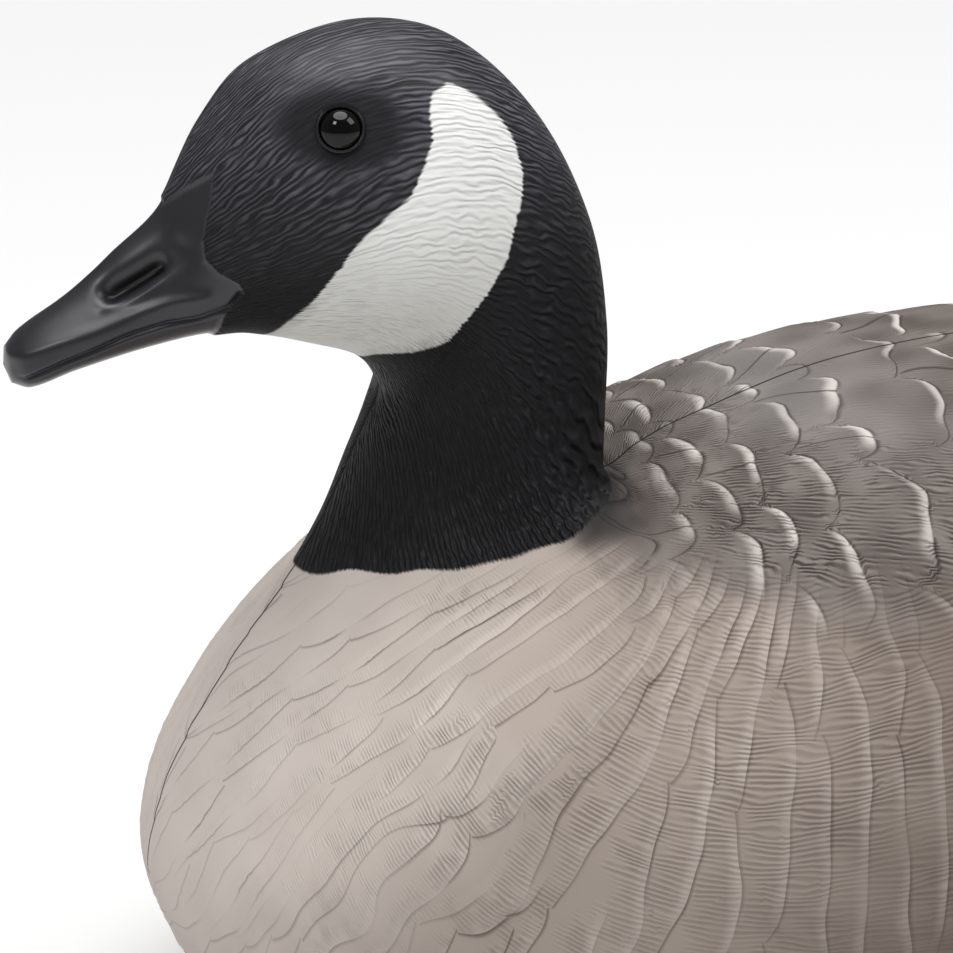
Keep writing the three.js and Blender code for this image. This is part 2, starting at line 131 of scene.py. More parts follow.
# %% Ribs of the hull
# name, top line, under line (behind the bill tip, height), half width, level, fullness over, under
RIBS = [
    ("bill tip", (0.8, 195.8), (1.8, 186.8), 4.8, 0.40, 2.0, 2.0),
    ("bill nail", (3.4, 199.4), (6.0, 185.8), 9.2, 0.38, 1.8, 2.2),
    ("bill", (13.0, 206.8), (17.0, 189.6), 11.4, 0.36, 1.6, 2.3),
    ("nostrils", (26.5, 217.4), (34.5, 194.2), 12.4, 0.34, 1.5, 2.3),
    ("bill root", (38.5, 228.4), (50.0, 197.0), 15.2, 0.34, 1.5, 2.2),
    ("forehead", (47.8, 248.4), (63.0, 196.0), 20.6, 0.38, 1.7, 2.1),
    ("brow", (61.5, 262.2), (74.0, 193.6), 25.8, 0.42, 2.0, 2.1),
    ("crown", (86.5, 271.4), (84.5, 190.0), 29.0, 0.43, 2.1, 2.2),
    ("hind crown", (110.0, 267.6), (90.2, 184.6), 29.6, 0.44, 2.1, 2.1),
    ("nape", (131.5, 248.4), (92.0, 179.2), 28.0, 0.46, 2.1, 2.1),
    ("neck top", (145.4, 221.4), (88.8, 171.6), 26.6, 0.50, 2.1, 2.1),
    ("neck", (150.0, 195.0), (84.2, 161.6), 27.0, 0.50, 2.1, 2.1),
    ("neck base", (149.4, 171.0), (77.0, 146.2), 31.0, 0.52, 2.1, 1.8),
    ("collar", (148.6, 160.0), (67.4, 131.0), 40.0, 0.53, 2.1, 1.5),
    ("upper breast", (149.6, 156.6), (53.4, 111.4), 60.0, 0.53, 2.2, 1.4),
    ("breast", (151.2, 156.6), (38.4, 84.5), 86.0, 0.51, 2.4, 1.6),
    ("breast front", (152.8, 157.4), (32.8, 56.0), 104.0, 0.47, 2.5, 1.85),
    ("breast foot", (155.0, 159.0), (57.0, 17.0), 114.5, 0.45, 2.5, 2.1),
    ("belly front", (160.0, 162.6), (104.0, -3.0), 121.0, 0.45, 2.4, 2.3),
    ("shoulders", (173.0, 168.6), (152.0, -5.0), 127.0, 0.44, 2.3, 2.4),
    ("back", (211.0, 181.2), (207.0, -5.0), 131.0, 0.42, 2.2, 2.4),
    ("mid back", (262.0, 187.0), (262.0, -5.0), 132.0, 0.41, 2.1, 2.4),
    ("loin", (330.0, 184.0), (330.0, -5.0), 126.0, 0.42, 2.05, 2.3),
    ("rump", (400.0, 171.0), (397.0, 8.0), 106.0, 0.48, 2.0, 2.1),
    ("tail coverts", (460.0, 150.0), (455.0, 38.0), 77.0, 0.56, 1.9, 1.9),
    ("tail root", (505.0, 132.0), (501.0, 68.0), 52.0, 0.62, 2.1, 1.8),
    ("tail", (543.0, 120.6), (541.0, 96.0), 43.0, 0.60, 2.6, 2.2),
    ("tail fan", (562.0, 114.8), (561.0, 102.0), 38.0, 0.55, 2.8, 2.6),
    ("tail end", (572.0, 111.8), (571.6, 104.0), 28.0, 0.50, 2.8, 2.6),
    ("tail tip", (576.0, 110.2), (575.8, 105.8), 13.0, 0.50, 2.6, 2.6),
]
rib_names = [rib[0] for rib in RIBS]
top_line = np.array([rib[1] for rib in RIBS])
under_line = np.array([rib[2] for rib in RIBS])
rib_shape = np.array([rib[3:] for rib in RIBS])
rib_steps = [np.hypot(*np.diff(line, axis=0).T) for line in (top_line, under_line)]
rib_way = np.concatenate([[0], np.cumsum(np.maximum(*rib_steps))])
station = dict(zip(rib_names, rib_way))
print("way along the bird, mm:", round(rib_way[-1]))


def through_ribs(values, at):
    """A smooth curve through one value of every rib, read at the stations in at."""
    values = np.asarray(values, float)
    ends = np.concatenate([[0], np.arange(len(RIBS) - 2), [len(RIBS) - 2]])
    after = np.minimum(ends + 2, len(RIBS) - 1)
    after[0] = 1
    gap = (rib_way[after] - rib_way[ends]).reshape(-1, *[1] * (values.ndim - 1))
    slopes = (values[after] - values[ends]) / gap
    i = np.clip(np.searchsorted(rib_way, at, side="right") - 1, 0, len(RIBS) - 2)
    span = rib_way[i + 1] - rib_way[i]
    t = np.clip((at - rib_way[i]) / span, 0, 1)
    if values.ndim > 1:
        span, t = span[:, None], t[:, None]
    return (
        values[i] * (2 * t**3 - 3 * t**2 + 1)
        + values[i + 1] * (3 * t**2 - 2 * t**3)
        + span * (slopes[i] * (t**3 - 2 * t**2 + t) + slopes[i + 1] * (t**3 - t**2))
    )


def smooth_form(stations, girths):
    """The smooth left side in mm: a row for each station, a column for each girth.

    Girth 0 is the line of the back and girth 1 the line of the belly."""
    over_line = through_ribs(top_line, stations)
    below_line = through_ribs(under_line, stations)
    half, level, over, below = through_ribs(rib_shape, stations).T[:, :, None]
    turn = np.linspace(0, math.pi / 2, 49)
    rising = turn[::-1][1:]
    out = np.hstack([half * np.sin(turn) ** (2 / over), half * np.sin(rising) ** (2 / below)])
    up = np.hstack([
        level + (1 - level) * np.cos(turn) ** (2 / over),
        level - level * np.cos(rising) ** (2 / below),
    ])
    back_down = below_line[:, None] + (over_line - below_line)[:, None] * up[:, :, None]
    oval = np.dstack([out, back_down])
    reach = np.cumsum(np.linalg.norm(np.diff(oval, axis=1), axis=2), axis=1)
    reach = np.hstack([np.zeros((len(reach), 1)), reach])
    form = np.empty((len(stations), len(girths), 3))
    for n in range(len(stations)):
        wanted = girths * reach[n, -1]
        for axis in range(3):
            form[n, :, axis] = np.interp(wanted, reach[n], oval[n, :, axis])
    return form

# %% [markdown]
# ## The sheet
# The left side starts as a flat grid. Each of its points knows how far along the bird and how far
# round it lies, so the sheet can be wrapped round the ribs. The points are closer together where
# the relief is finer: on the bill, round the eye and on the breast.

# %% Spacing of the sheet
# Distance between two rows of points at some ribs, in millimetres
ROW_GAPS = {
    "bill tip": 0.9, "bill root": 1.2, "forehead": 1.4, "brow": 0.9, "crown": 1.0,
    "hind crown": 1.8, "neck top": 2.2, "collar": 1.7, "upper breast": 1.4,
    "breast foot": 1.4, "shoulders": 1.7, "mid back": 2.2, "loin": 3.2,
    "tail coverts": 3.2, "tail root": 2.4, "tail tip": 1.0,
}
ROUND_COUNT = 150
fine = np.linspace(0, rib_way[-1], 4000)
gaps = np.interp(fine, [station[name] for name in ROW_GAPS], list(ROW_GAPS.values()))
rows_passed = np.concatenate([[0], np.cumsum(np.diff(fine) / gaps[1:])])
row_count = int(round(rows_passed[-1]))
stations = np.interp(np.linspace(0, rows_passed[-1], row_count + 1), rows_passed, fine)
crowding = np.interp(np.linspace(0, 1, 400), [0, 0.62, 0.80, 1], [1, 1, 0.55, 0.55])
columns_passed = np.concatenate([[0], np.cumsum(crowding[1:])])
columns_passed /= columns_passed[-1]
girths = np.interp(np.linspace(0, 1, ROUND_COUNT + 1), columns_passed, np.linspace(0, 1, 400))
print("rows and columns of the sheet:", len(stations), len(girths))

# %% [markdown]
# The ribs alone give a smooth egg of a head. A goose has a brow, a hollow in front of the eye and a
# full cheek, which a carver adds with a rasp. Each is a soft mound or dent here, pushed out along
# the way that the surface faces.

# %% Wrap the sheet round the ribs
# Broad swellings and hollows of the head: (behind the bill tip, height), reach both ways, rise
MOUNDS = {
    "brow ridge": ((73, 257), (11, 5), 1.6),
    "eye hollow": ((76, 246), (13, 7), -1.5),
    "lore hollow": ((58, 232), (9, 12), -1.4),
    "cheek": ((88, 216), (17, 13), 2.6),
    "throat fold": ((95, 190), (9, 6), -1.2),
    "bill side": ((27, 207), (13, 5), -1.3),
}


def outward(points):
    """The way out of a sheet of points, from the steps to the neighbouring points."""
    along = np.gradient(points, axis=0)
    round_it = np.gradient(points, axis=1)
    normal = np.cross(round_it, along)
    normal[:, (0, -1), 0] = 0
    return normal / np.maximum(np.linalg.norm(normal, axis=2, keepdims=True), 1e-9)


sheet = smooth_form(stations, girths)
normals = outward(sheet)
for at, reach, rise in MOUNDS.values():
    away = (sheet[:, :, 1:] - at) / reach
    height = rise * np.exp(-(away**2).sum(axis=2) / 2)
    sheet = sheet + normals * height[:, :, None]
normals = outward(sheet)
side_view = sheet[:, :, 1:]
behind, above = side_view[:, :, 0], side_view[:, :, 1]
print("smooth form, mm:", sheet.reshape(-1, 3).min(0).round(1), sheet.reshape(-1, 3).max(0).round(1))

# %% [markdown]
# ## Which way the coat lies
# Hair strokes, barbs and rows of feathers all follow the lie of the coat. A carver pencils a few
# strokes on the blank first, and these are such strokes: a place in the side view and an angle.
# Every other point takes its direction from the strokes near it.

# %% Guide strokes
# (behind the bill tip, height, angle in degrees; 0 points to the tail and 90 up)
HEAD_STROKES = [
    (45, 238, 65), (54, 255, 52), (68, 265, 27), (82, 269, 11), (97, 270, -2), (110, 266, -24),
    (122, 256, -40), (132, 244, -45), (140, 229, -40), (143, 215, -37), (58, 246, 51),
    (68, 258, 38), (80, 264, 17), (95, 264, 4), (107, 260, -11), (117, 249, -27), (127, 237, -26),
    (133, 222, -23), (137, 204, -26), (54, 232, 42), (62, 240, 44), (68, 235, 33), (77, 235, 27),
    (90, 244, 19), (98, 253, 4), (53, 218, 30), (64, 221, 33), (75, 224, 34), (84, 231, 33),
    (94, 235, 21), (105, 244, 1), (115, 240, -8), (120, 231, -15), (104, 230, 7), (111, 224, -4),
    (122, 216, -17), (130, 205, -24), (62, 207, 12), (71, 206, 15), (79, 211, 18), (91, 216, 6),
    (101, 216, -6), (111, 212, -15), (76, 201, -4), (86, 195, -23), (95, 200, -10),
    (104, 203, -19), (116, 204, -24), (127, 195, -33), (140, 191, -41), (112, 195, -46),
    (103, 191, -61), (95, 187, -77), (92, 180, -90), (119, 184, -47), (132, 180, -49),
    (139, 172, -59), (109, 177, -64), (98, 174, -88), (89, 171, -108), (126, 167, -54),
    (116, 163, -68), (104, 158, -85), (91, 157, -96), (81, 149, -115), (136, 159, -57),
    (125, 152, -68), (109, 148, -86), (91, 145, -100), (75, 140, -118),
]
BODY_STROKES = [
    (125, 146, -57), (114, 141, -87), (100, 138, -104), (81, 132, -109), (66, 125, -118),
    (55, 111, -117), (65, 115, -107), (81, 122, -98), (95, 127, -87), (110, 133, -74),
    (125, 142, -43), (139, 146, -18), (44, 93, -115), (52, 96, -111), (65, 103, -93),
    (80, 112, -79), (94, 120, -55), (109, 125, -40), (123, 132, -26), (138, 137, -18),
    (38, 70, -84), (47, 78, -69), (61, 89, -60), (76, 96, -50), (93, 105, -40), (108, 111, -36),
    (124, 117, -24), (141, 124, -13), (156, 132, -1), (149, 144, -9), (162, 145, -1),
    (177, 146, 15), (192, 144, 11), (42, 61, -62), (59, 74, -52), (78, 81, -43), (99, 87, -35),
    (120, 93, -23), (138, 100, -14), (155, 112, -1), (172, 120, 7), (188, 124, 11),
    (198, 140, 11), (153, 86, -6), (171, 90, 4), (190, 94, 5), (193, 111, 5), (60, 40, -50),
    (80, 15, -30), (100, 50, -25), (150, 40, -5), (250, 90, 4), (250, 30, 0), (330, 80, 4),
    (330, 25, 3), (390, 90, 6), (390, 40, 18), (450, 100, 4), (450, 60, 24), (500, 85, 20),
    (540, 105, 6), (300, 130, 0), (400, 125, -3),
]


def strokes_at(strokes, reach):
    """The direction of the coat over the sheet, as unit vectors that lie on the surface.

    From the side each vector looks turned as the strokes near it are."""
    places = np.array([stroke[:2] for stroke in strokes], float)
    angles = np.radians([stroke[2] for stroke in strokes])
    pull = np.zeros(behind.shape + (2,))
    for place, angle in zip(places, angles):
        near = np.exp(-((side_view - place) ** 2).sum(axis=2) / (2 * reach**2)) + 1e-12
        pull += near[:, :, None] * (math.cos(angle), math.sin(angle))
    pull /= np.maximum(np.linalg.norm(pull, axis=2, keepdims=True), 1e-9)
    sinks = (normals[:, :, 1:] * pull).sum(axis=2)
    lie = np.dstack([-sinks / np.maximum(normals[:, :, 0], 0.3), pull])
    lie -= normals * (lie * normals).sum(axis=2, keepdims=True)
    return lie / np.maximum(np.linalg.norm(lie, axis=2, keepdims=True), 1e-9)


print("guide strokes:", len(HEAD_STROKES) + len(BODY_STROKES))

# %% [markdown]
# ## Combing
# The coat is now combed: each point gets a number for how far along the lie it is, and one for how
# far across. It is a large sum of small wishes: along each little step from point to point the number
# should grow by the length of that step in the wanted direction. They can't all be met on a curved
# surface, so the best compromise is found by the method of conjugate gradients, on every third or
# fourth row and column.

# %% Comb the coat
ROW_SKIP, COLUMN_SKIP = 4, 3
coarse_rows = np.unique(np.append(np.arange(0, len(stations), ROW_SKIP), len(stations) - 1))
coarse_columns = np.unique(np.append(np.arange(0, len(girths), COLUMN_SKIP), len(girths) - 1))


def pick(field):
    return field[coarse_rows][:, coarse_columns]


def spread(field):
    """A coarse field read at every point of the sheet."""
    rows = np.arange(len(stations))
    columns = np.arange(len(girths))
    tall = np.array([np.interp(rows, coarse_rows, column) for column in field.T]).T
    return np.array([np.interp(columns, coarse_columns, row) for row in tall])


def comb(direction, unit, strict=2.0, rounds=3000):
    """The numbers that grow by one for each unit of length in a direction over the sheet.

    A line of equal numbers crosses the direction squarely. That counts more than the spacing, by
    the factor strict, because the eye sees a wrong turn sooner than a wrong gap."""
    points = pick(sheet)

    def middle(field):
        return (field[1:, 1:] + field[1:, :-1] + field[:-1, 1:] + field[:-1, :-1]) / 4

    def down_step(field):
        return (field[1:, 1:] + field[1:, :-1] - field[:-1, 1:] - field[:-1, :-1]) / 2

    def over_step(field):
        return (field[1:, 1:] - field[1:, :-1] + field[:-1, 1:] - field[:-1, :-1]) / 2

    def dot(a, b):
        return (a * b).sum(axis=2)

    down, over = down_step(points), over_step(points)
    way = middle(pick(direction))
    side = np.cross(middle(pick(normals)), way)
    dd, oo, do = dot(down, down), dot(over, over), dot(down, over)
    square = np.maximum(dd * oo - do**2, 1e-4)
    for_down = (oo[:, :, None] * down - do[:, :, None] * over) / square[:, :, None]
    for_over = (dd[:, :, None] * over - do[:, :, None] * down) / square[:, :, None]
    weight = square**0.25 * middle(pick(unit))
    parts = [
        (weight * dot(for_down, way), weight * dot(for_over, way)),
        (strict * weight * dot(for_down, side), strict * weight * dot(for_over, side)),
    ]

    def errors(x):
        return [a * down_step(x) + b * over_step(x) for a, b in parts]

    def gather(found, squared=False):
        total = np.zeros(points.shape[:2])
        for (a, b), error in zip(parts, found):
            for row_side, rows in ((1, slice(1, None)), (-1, slice(None, -1))):
                for column_side, columns in ((1, slice(1, None)), (-1, slice(None, -1))):
                    share = (row_side * a + column_side * b) / 2
                    total[rows, columns] += share**2 if squared else share * error
        return total

    scale = gather([0, 0], squared=True) + 1e-6
    x = np.zeros(points.shape[:2])
    left = gather([square**0.25, 0])
    start = (left * left / scale).sum()
    step = left / scale
    worth = (left * step).sum()
    for n in range(rounds):
        reply = gather(errors(step))
        share = worth / (step * reply).sum()
        x += share * step
        left -= share * reply
        eased = left / scale
        now = (left * eased).sum()
        if now < 1e-9 * start:
            break
        step = eased + now / worth * step
        worth = now
    print("combed in", n + 1, "rounds, left", float(now / start))
    return spread(x)


def across(lie):
    return np.cross(normals, lie)


def steepness(field):
    """How fast a field changes over the sheet, for each millimetre."""
    down, over = np.gradient(sheet, axis=0), np.gradient(sheet, axis=1)
    down_change, over_change = np.gradient(field, axis=0), np.gradient(field, axis=1)
    dd, oo, do = ((a * b).sum(axis=2) for a, b in ((down, down), (over, over), (down, over)))
    change = (oo * down_change**2 - 2 * do * down_change * over_change + dd * over_change**2)
    return np.sqrt(np.maximum(change, 0) / np.maximum(dd * oo - do**2, 1e-6))


def softened(field, rounds=30):
    field = field.copy()
    for _ in range(rounds):
        field[1:-1] = (field[2:] + field[:-2] + 2 * field[1:-1]) / 4
        field[:, 1:-1] = (field[:, 2:] + field[:, :-2] + 2 * field[:, 1:-1]) / 4
    return field


def comb_evenly(direction, wanted, zone, slack, strict):
    """Combs three times. Each time the spacing gives way a little, where it can't be met."""
    unit = wanted
    for _ in range(3):
        field = comb(direction, unit, strict)
        gap = 1 / np.maximum(steepness(field), 1e-4) / wanted
        usual = np.median(gap[zone])
        unit = wanted * softened(np.clip(gap / usual, 1 / slack, slack))
    print("gaps are within", np.quantile(gap[zone] / usual, (0.1, 0.9)).round(2), "of the wanted")
    return field * usual


one_mm = np.ones(behind.shape)
head_zone = (above > 150) & (behind > 45) & (behind < 150)
body_zone = (above < 145) & (behind < 300)
HEAD_REACH, BODY_REACH = 9, 12
UNDER_NECK_STROKES = BODY_STROKES[:12]
hair_lie = strokes_at(HEAD_STROKES + UNDER_NECK_STROKES, HEAD_REACH)
body_lie = strokes_at(BODY_STROKES, BODY_REACH)
hair_along = comb(hair_lie, one_mm)
hair_across = comb_evenly(across(hair_lie), one_mm, head_zone, slack=1.8, strict=4.0)
barb_across = comb_evenly(across(body_lie), one_mm, body_zone, slack=1.4, strict=1.5)

# %% [markdown]
# ## Borders
# The bill, the white cheek, the black neck and the folded wing each have a border. It is drawn once
# as a line in the side view, and every point then keeps its distance from that line. The paint
# reads the distance, so a border stays sharp however coarse the mesh is.

# %% Borders in the side view
# Corners of an outline: (behind the bill tip, height)
BILL_EDGE = [
    (36.0, 232.0), (40.4, 229.5), (44.5, 234.0), (50.3, 238.1), (49.9, 233.3), (48.6, 228.1),
    (47.2, 222.1), (47.4, 217.7), (50.3, 214.6), (54.5, 212.4), (55.9, 209.9), (53.1, 206.4),
    (51.5, 203.6), (50.0, 196.0), (50.0, 180.0), (-20.0, 170.0), (-20.0, 230.0),
]
CHEEK = [
    (105.8, 259.0), (101.6, 256.5), (100.2, 251.6), (100.1, 246.3), (97.4, 240.2), (93.0, 233.1),
    (84.7, 226.0), (79.3, 220.5), (75.6, 216.0), (72.4, 209.9), (66.4, 202.1), (62.3, 197.0),
    (66.0, 188.0), (80.8, 186.0), (88.1, 192.0), (96.0, 193.6), (103.7, 197.4), (108.9, 202.0),
    (113.9, 208.7), (119.3, 219.2), (122.5, 228.6), (123.5, 236.8), (122.0, 243.2),
    (118.8, 248.6), (112.9, 255.1), (108.9, 257.9),
]
# The lower end of the black neck and the lower edge of the wing: places behind the tip, heights there
NECK_END = ([60, 70.8, 86.8, 97.2, 108.1, 119.6, 129.8, 137.4, 147, 152, 170, 600],
            [135, 136.1, 140.5, 142.5, 144.7, 147.4, 150.3, 153.1, 156, 158.6, 190, 300])
WING_EDGE = ([60, 118, 133, 155, 204, 262, 330, 400, 460, 505, 580],
             [300, 190, 151, 149.5, 148, 140, 134, 130, 125, 121, 112])


def far_from(line, closed=False):
    """The distance of every point of the sheet from a line in the side view."""
    corners = np.array(line + line[:1] if closed else line, float)
    nearest = np.full(behind.shape, 1e9)
    for a, b in zip(corners[:-1], corners[1:]):
        side = b - a
        share = np.clip(((side_view - a) @ side) / (side @ side), 0, 1)
        away = np.linalg.norm(side_view - a - share[:, :, None] * side, axis=2)
        nearest = np.minimum(nearest, away)
    return nearest


def inside(outline):
    """The distance from a closed outline: positive inside it and negative outside."""
    crossings = np.zeros(behind.shape, bool)
    for (y1, z1), (y2, z2) in zip(outline, outline[1:] + outline[:1]):
        if z1 != z2:
            between = (above > min(z1, z2)) & (above <= max(z1, z2))
            crossings ^= between & (behind < y1 + (above - z1) / (z2 - z1) * (y2 - y1))
    return np.where(crossings, 1, -1) * far_from(outline, closed=True)


bill = inside(BILL_EDGE)
cheek = inside(CHEEK)
neck = above - np.interp(behind, *NECK_END)
wing = above - np.interp(behind, *WING_EDGE)
print("share of points on the bill, cheek, neck and wing:",
      [round(float((zone > 0).mean()), 2) for zone in (bill, cheek, neck, wing)])

# %% [markdown]
# ## Rows of feathers
# Two tracts of feathers are carved: the breast and flank, with long shallow edges, and the back and
# wing, with short round-tipped feathers. Every point gets a row number and a lane number. On the
# breast and flank they come from the distances combed along and across the lie of the coat. The
# feathers grow towards the tail, so the length of one row, in millimetres, is a value that changes
# along the bird.

# %% Rows and lanes
# How far behind the bill tip, and the length or the width of a feather there, in millimetres
BREAST_ROW = ([50, 75, 100, 125, 150, 180, 300, 420], [7.5, 8, 9, 10.5, 12.5, 14.5, 18, 20])
BREAST_LANE = ([60, 120, 200, 400], [60, 70, 76, 70])
WING_ROW = ([150, 165, 181, 209, 235, 300, 400], [8, 9.5, 13, 17.5, 20, 24, 28])
WING_LANE = ([150, 165, 181, 209, 300, 400], [26, 29, 32, 34, 36, 36])


WAVES = 9


def sized(table):
    """A table's value at every point of the sheet."""
    return np.interp(behind, *table)


def ripple(over, along, seed):
    """Smooth random swells between about -1 and 1, about one unit long in both directions."""
    chance = np.random.default_rng(seed)
    total = np.zeros(behind.shape)
    for _ in range(WAVES):
        turn = chance.uniform(0, math.pi)
        pace = 2 * math.pi * chance.uniform(0.4, 0.9)
        way = pace * (math.cos(turn) * over + math.sin(turn) * along)
        total += np.sin(way + chance.uniform(0, 2 * math.pi))
    return total / 3


def wobble(size, seed):
    """A smooth random swell over the sheet, between about -1 and 1, with waves of about that size."""
    chance = np.random.default_rng(seed)
    total = np.zeros(behind.shape)
    for _ in range(WAVES):
        way = chance.normal(size=3)
        way *= 2 * math.pi / (np.linalg.norm(way) * size * chance.uniform(0.7, 1.4))
        total += np.sin(sheet @ way + chance.uniform(0, 2 * math.pi))
    return total / 3


breast_mm = sized(BREAST_ROW) * np.interp(above, [30, 80], [0.7, 1])
row = comb_evenly(body_lie, breast_mm, body_zone, slack=3.0, strict=1.5)
row += 0.16 * wobble(45, 1) + 0.06 * wobble(16, 2)
lane = comb(across(body_lie), sized(BREAST_LANE), strict=1.0) + 0.25 * wobble(60, 3)
row, lane = (field + 10 - field.min().round() for field in (row, lane))
print("rows and lanes of the breast:", row.max().round(), lane.max().round())

# %% [markdown]
# On the back the rows simply follow the ribs, as the feathers of a folded wing lie square to the
# spine, and the lanes are counted upwards from the wing's edge. The size of a feather still changes
# along the bird.

# %% Rows and lanes of the back
down_it = np.cumsum(np.linalg.norm(np.diff(sheet, axis=1), axis=2), axis=1)
down_it = np.hstack([np.zeros((len(sheet), 1)), down_it])
edge_at = np.array([np.interp(0, -level, way) for level, way in zip(wing, down_it)])
above_edge = edge_at[:, None] - down_it
top_behind, top_above = sheet[:, 0, 1], sheet[:, 0, 2]
top_steps = np.hypot(np.diff(top_behind), np.diff(top_above))
top_way = np.concatenate([[0], np.cumsum(top_steps)])
top_rows = np.concatenate([[0], np.cumsum(top_steps / np.interp(top_behind[1:], *WING_ROW))])
wing_row = 10 + top_rows[:, None] + 0.14 * wobble(34, 4) + 0.05 * wobble(14, 12)
wing_lane = 10 + above_edge / sized(WING_LANE) + 0.14 * wobble(40, 5)
print("rows and lanes of the back:", wing_row.max().round(), wing_lane.max().round())

# %% [markdown]
# A row number and a lane number make a brick wall, and a feather is a brick with a round end. Every
# second row is shifted by half a lane, and the edge between two rows is pulled back into a curve, so
# each tip covers the joint of the two feathers behind it. A little chance keeps it from looking like
# roof tiles.

# %% Feather tips
# Each tip is a curve: how deep it is in rows, how much of that is a plain parabola, how far above
# the middle line its furthest point lies, and how much the tips of neighbours differ by chance
BREAST_TIP = (0.38, 0.8, 0.0, 0.30)
WING_TIP = (0.48, 0.55, 0.25, 0.26)
# The chance is the fraction of a sum of these steps, one for each row and one for each lane
ROW_CHANCE, LANE_CHANCE = 0.618, 0.755


def shingles(rows, lanes, tip_shape):
    """How far along its feather each point lies, from 0 where it comes out to 1 at the tip,
    how far from the feather's middle line, from -0.5 to 0.5, and how many rows before the tip."""
    depth, parabola, high, scatter = tip_shape

    def off_middle(n):
        return np.mod(lanes + 0.5 * np.mod(n, 2), 1) - 0.5

    def tip(n):
        chance = np.mod(ROW_CHANCE * n + LANE_CHANCE * np.floor(lanes + 0.5 * np.mod(n, 2)), 1)
        off = 2 * off_middle(n) - high
        square = np.maximum(off / (1 - high), -off / (1 + high)) ** 2
        drop = parabola * square + (1 - parabola) * square**3
        return n + 1 - depth * drop - scatter * chance

    own = np.floor(rows)
    own = own + (rows >= tip(own))
    start, end = tip(own - 1), tip(own)
    return np.clip((rows - start) / (end - start), 0, 1), off_middle(own), end - rows


# %% [markdown]
# ## Relief
# The sheet is now carved: each point moves in or out, mostly by less than two millimetres. Only what
# is wide enough for the mesh is carved here. The same rows and lanes draw the hair-thin lines in the
# paint later, so the two agree. The bill comes first: the mouth, the lip over it and the nostril with
# its rim are grooves and ridges along lines, and the coat stands a little proud of the bill.

# %% Relief of the bill
def ease(low, high, value):
    """Goes softly from 0 at low to 1 at high."""
    t = np.clip((value - low) / (high - low), 0, 1)
    return t * t * (3 - 2 * t)


def ridge(line, width):
    """A soft ridge of height 1 along a line in the side view."""
    return np.exp(-((far_from(line) / width) ** 2))


MOUTH = [(4.4, 189.3), (11.8, 192.7), (20.2, 195.8), (28.2, 199.1), (37.8, 201.9),
         (45.7, 202.9), (52.5, 205.8), (54.8, 209.6)]
UPPER_LIP = [(2.3, 194.3), (11.3, 197.4), (21.8, 200.5), (32.0, 204.4), (39.3, 206.8), (47, 208)]
NOSTRIL = [(25.2, 208.9), (30.6, 211.8), (36.0, 215.4)]
NOSTRIL_RIM = [(23.4, 205.8), (26.5, 206.6), (31.0, 208.0), (35.3, 210.9), (38.2, 214.4)]
NOSTRIL_HOLLOW = [(27.5, 210.5), (34.0, 214.5), (40.5, 219.5)]
# A line, half its width and how far it rises, in millimetres
BILL_LINES = [(MOUTH, 0.7, -1.0), (UPPER_LIP, 1.8, 0.7), (NOSTRIL_HOLLOW, 3.4, -1.3),
              (NOSTRIL, 2.0, -2.9), (NOSTRIL_RIM, 1.3, 0.4)]
COAT_STEP = 0.7
on_bill = ease(-0.4, 0.8, bill)
relief = on_bill * sum(rise * ridge(line, width) for line, width, rise in BILL_LINES)
relief += COAT_STEP * ease(-9, -0.4, -np.abs(bill)) * (bill < 0) * (behind < 70)
relief += COAT_STEP * ease(0.8, -0.4, bill) * (bill >= 0)
print("relief of the bill, mm:", relief.min().round(2), "to", relief.max().round(2))

# %% [markdown]
# Each feather of the breast rises from where it comes out to its tip and drops there to the next one.
# The relief is shallow on the front and deeper along the flank, and fades out under the neck and on
# the belly. Where the rows have been combed far apart, a second set of tips lies between them.

# %% Relief of the breast and flank
FAR_FROM_TIP = 99.0
BETWEEN_ROWS, BETWEEN_SCALE, BETWEEN_LANES = 0.5, 0.9, 0.37
breast_part = ease(3, -5, neck) * ease(0.5, -1.5, wing)
belly = ease(14, 2, above) * ease(90, 130, behind)
tail_part = ease(440, 520, behind)
row_mm = softened(np.clip(1 / np.maximum(steepness(row), 0.02), 4, 26), 12)
carve = (0.60 + 0.40 * ease(52, 110, behind)) * (0.85 + 0.25 * wobble(24, 6))
carve = np.clip(carve, 0.2, 1.1) * (1 - belly) * (1 - 0.8 * tail_part) * ease(4, -10, neck)
wide = ease(1.25, 1.6, softened(row_mm / breast_mm, 20))
between = (row + BETWEEN_ROWS, lane * BETWEEN_SCALE + BETWEEN_LANES)
to_tip = np.full(behind.shape, FAR_FROM_TIP)
for rows, lanes, share in ((row, lane, 1), (*between, wide)):
    along_feather, off_middle, rows_left = shingles(rows, lanes, BREAST_TIP)
    feather = along_feather**1.3 * ease(0, 1.5, rows_left * row_mm) - 0.25
    feather *= ease(0.5, 0.34, np.abs(off_middle))
    relief += breast_part * carve * share * (0.035 * row_mm + 0.60) * feather
    to_tip = np.minimum(to_tip, rows_left * row_mm + FAR_FROM_TIP * (1 - share))
print("length of a breast feather, mm:", np.quantile(row_mm[body_zone], (0.1, 0.5, 0.9)).round(1))

# %% [markdown]
# The feathers of the back are rounder and stand out more. The folded wing itself lies on the flank
# like a lid, 3 mm proud along its edge. The rump under the wing tips is kept plain, so that their
# blades sit cleanly on it, and the tail gets a groove between every two of its feathers.

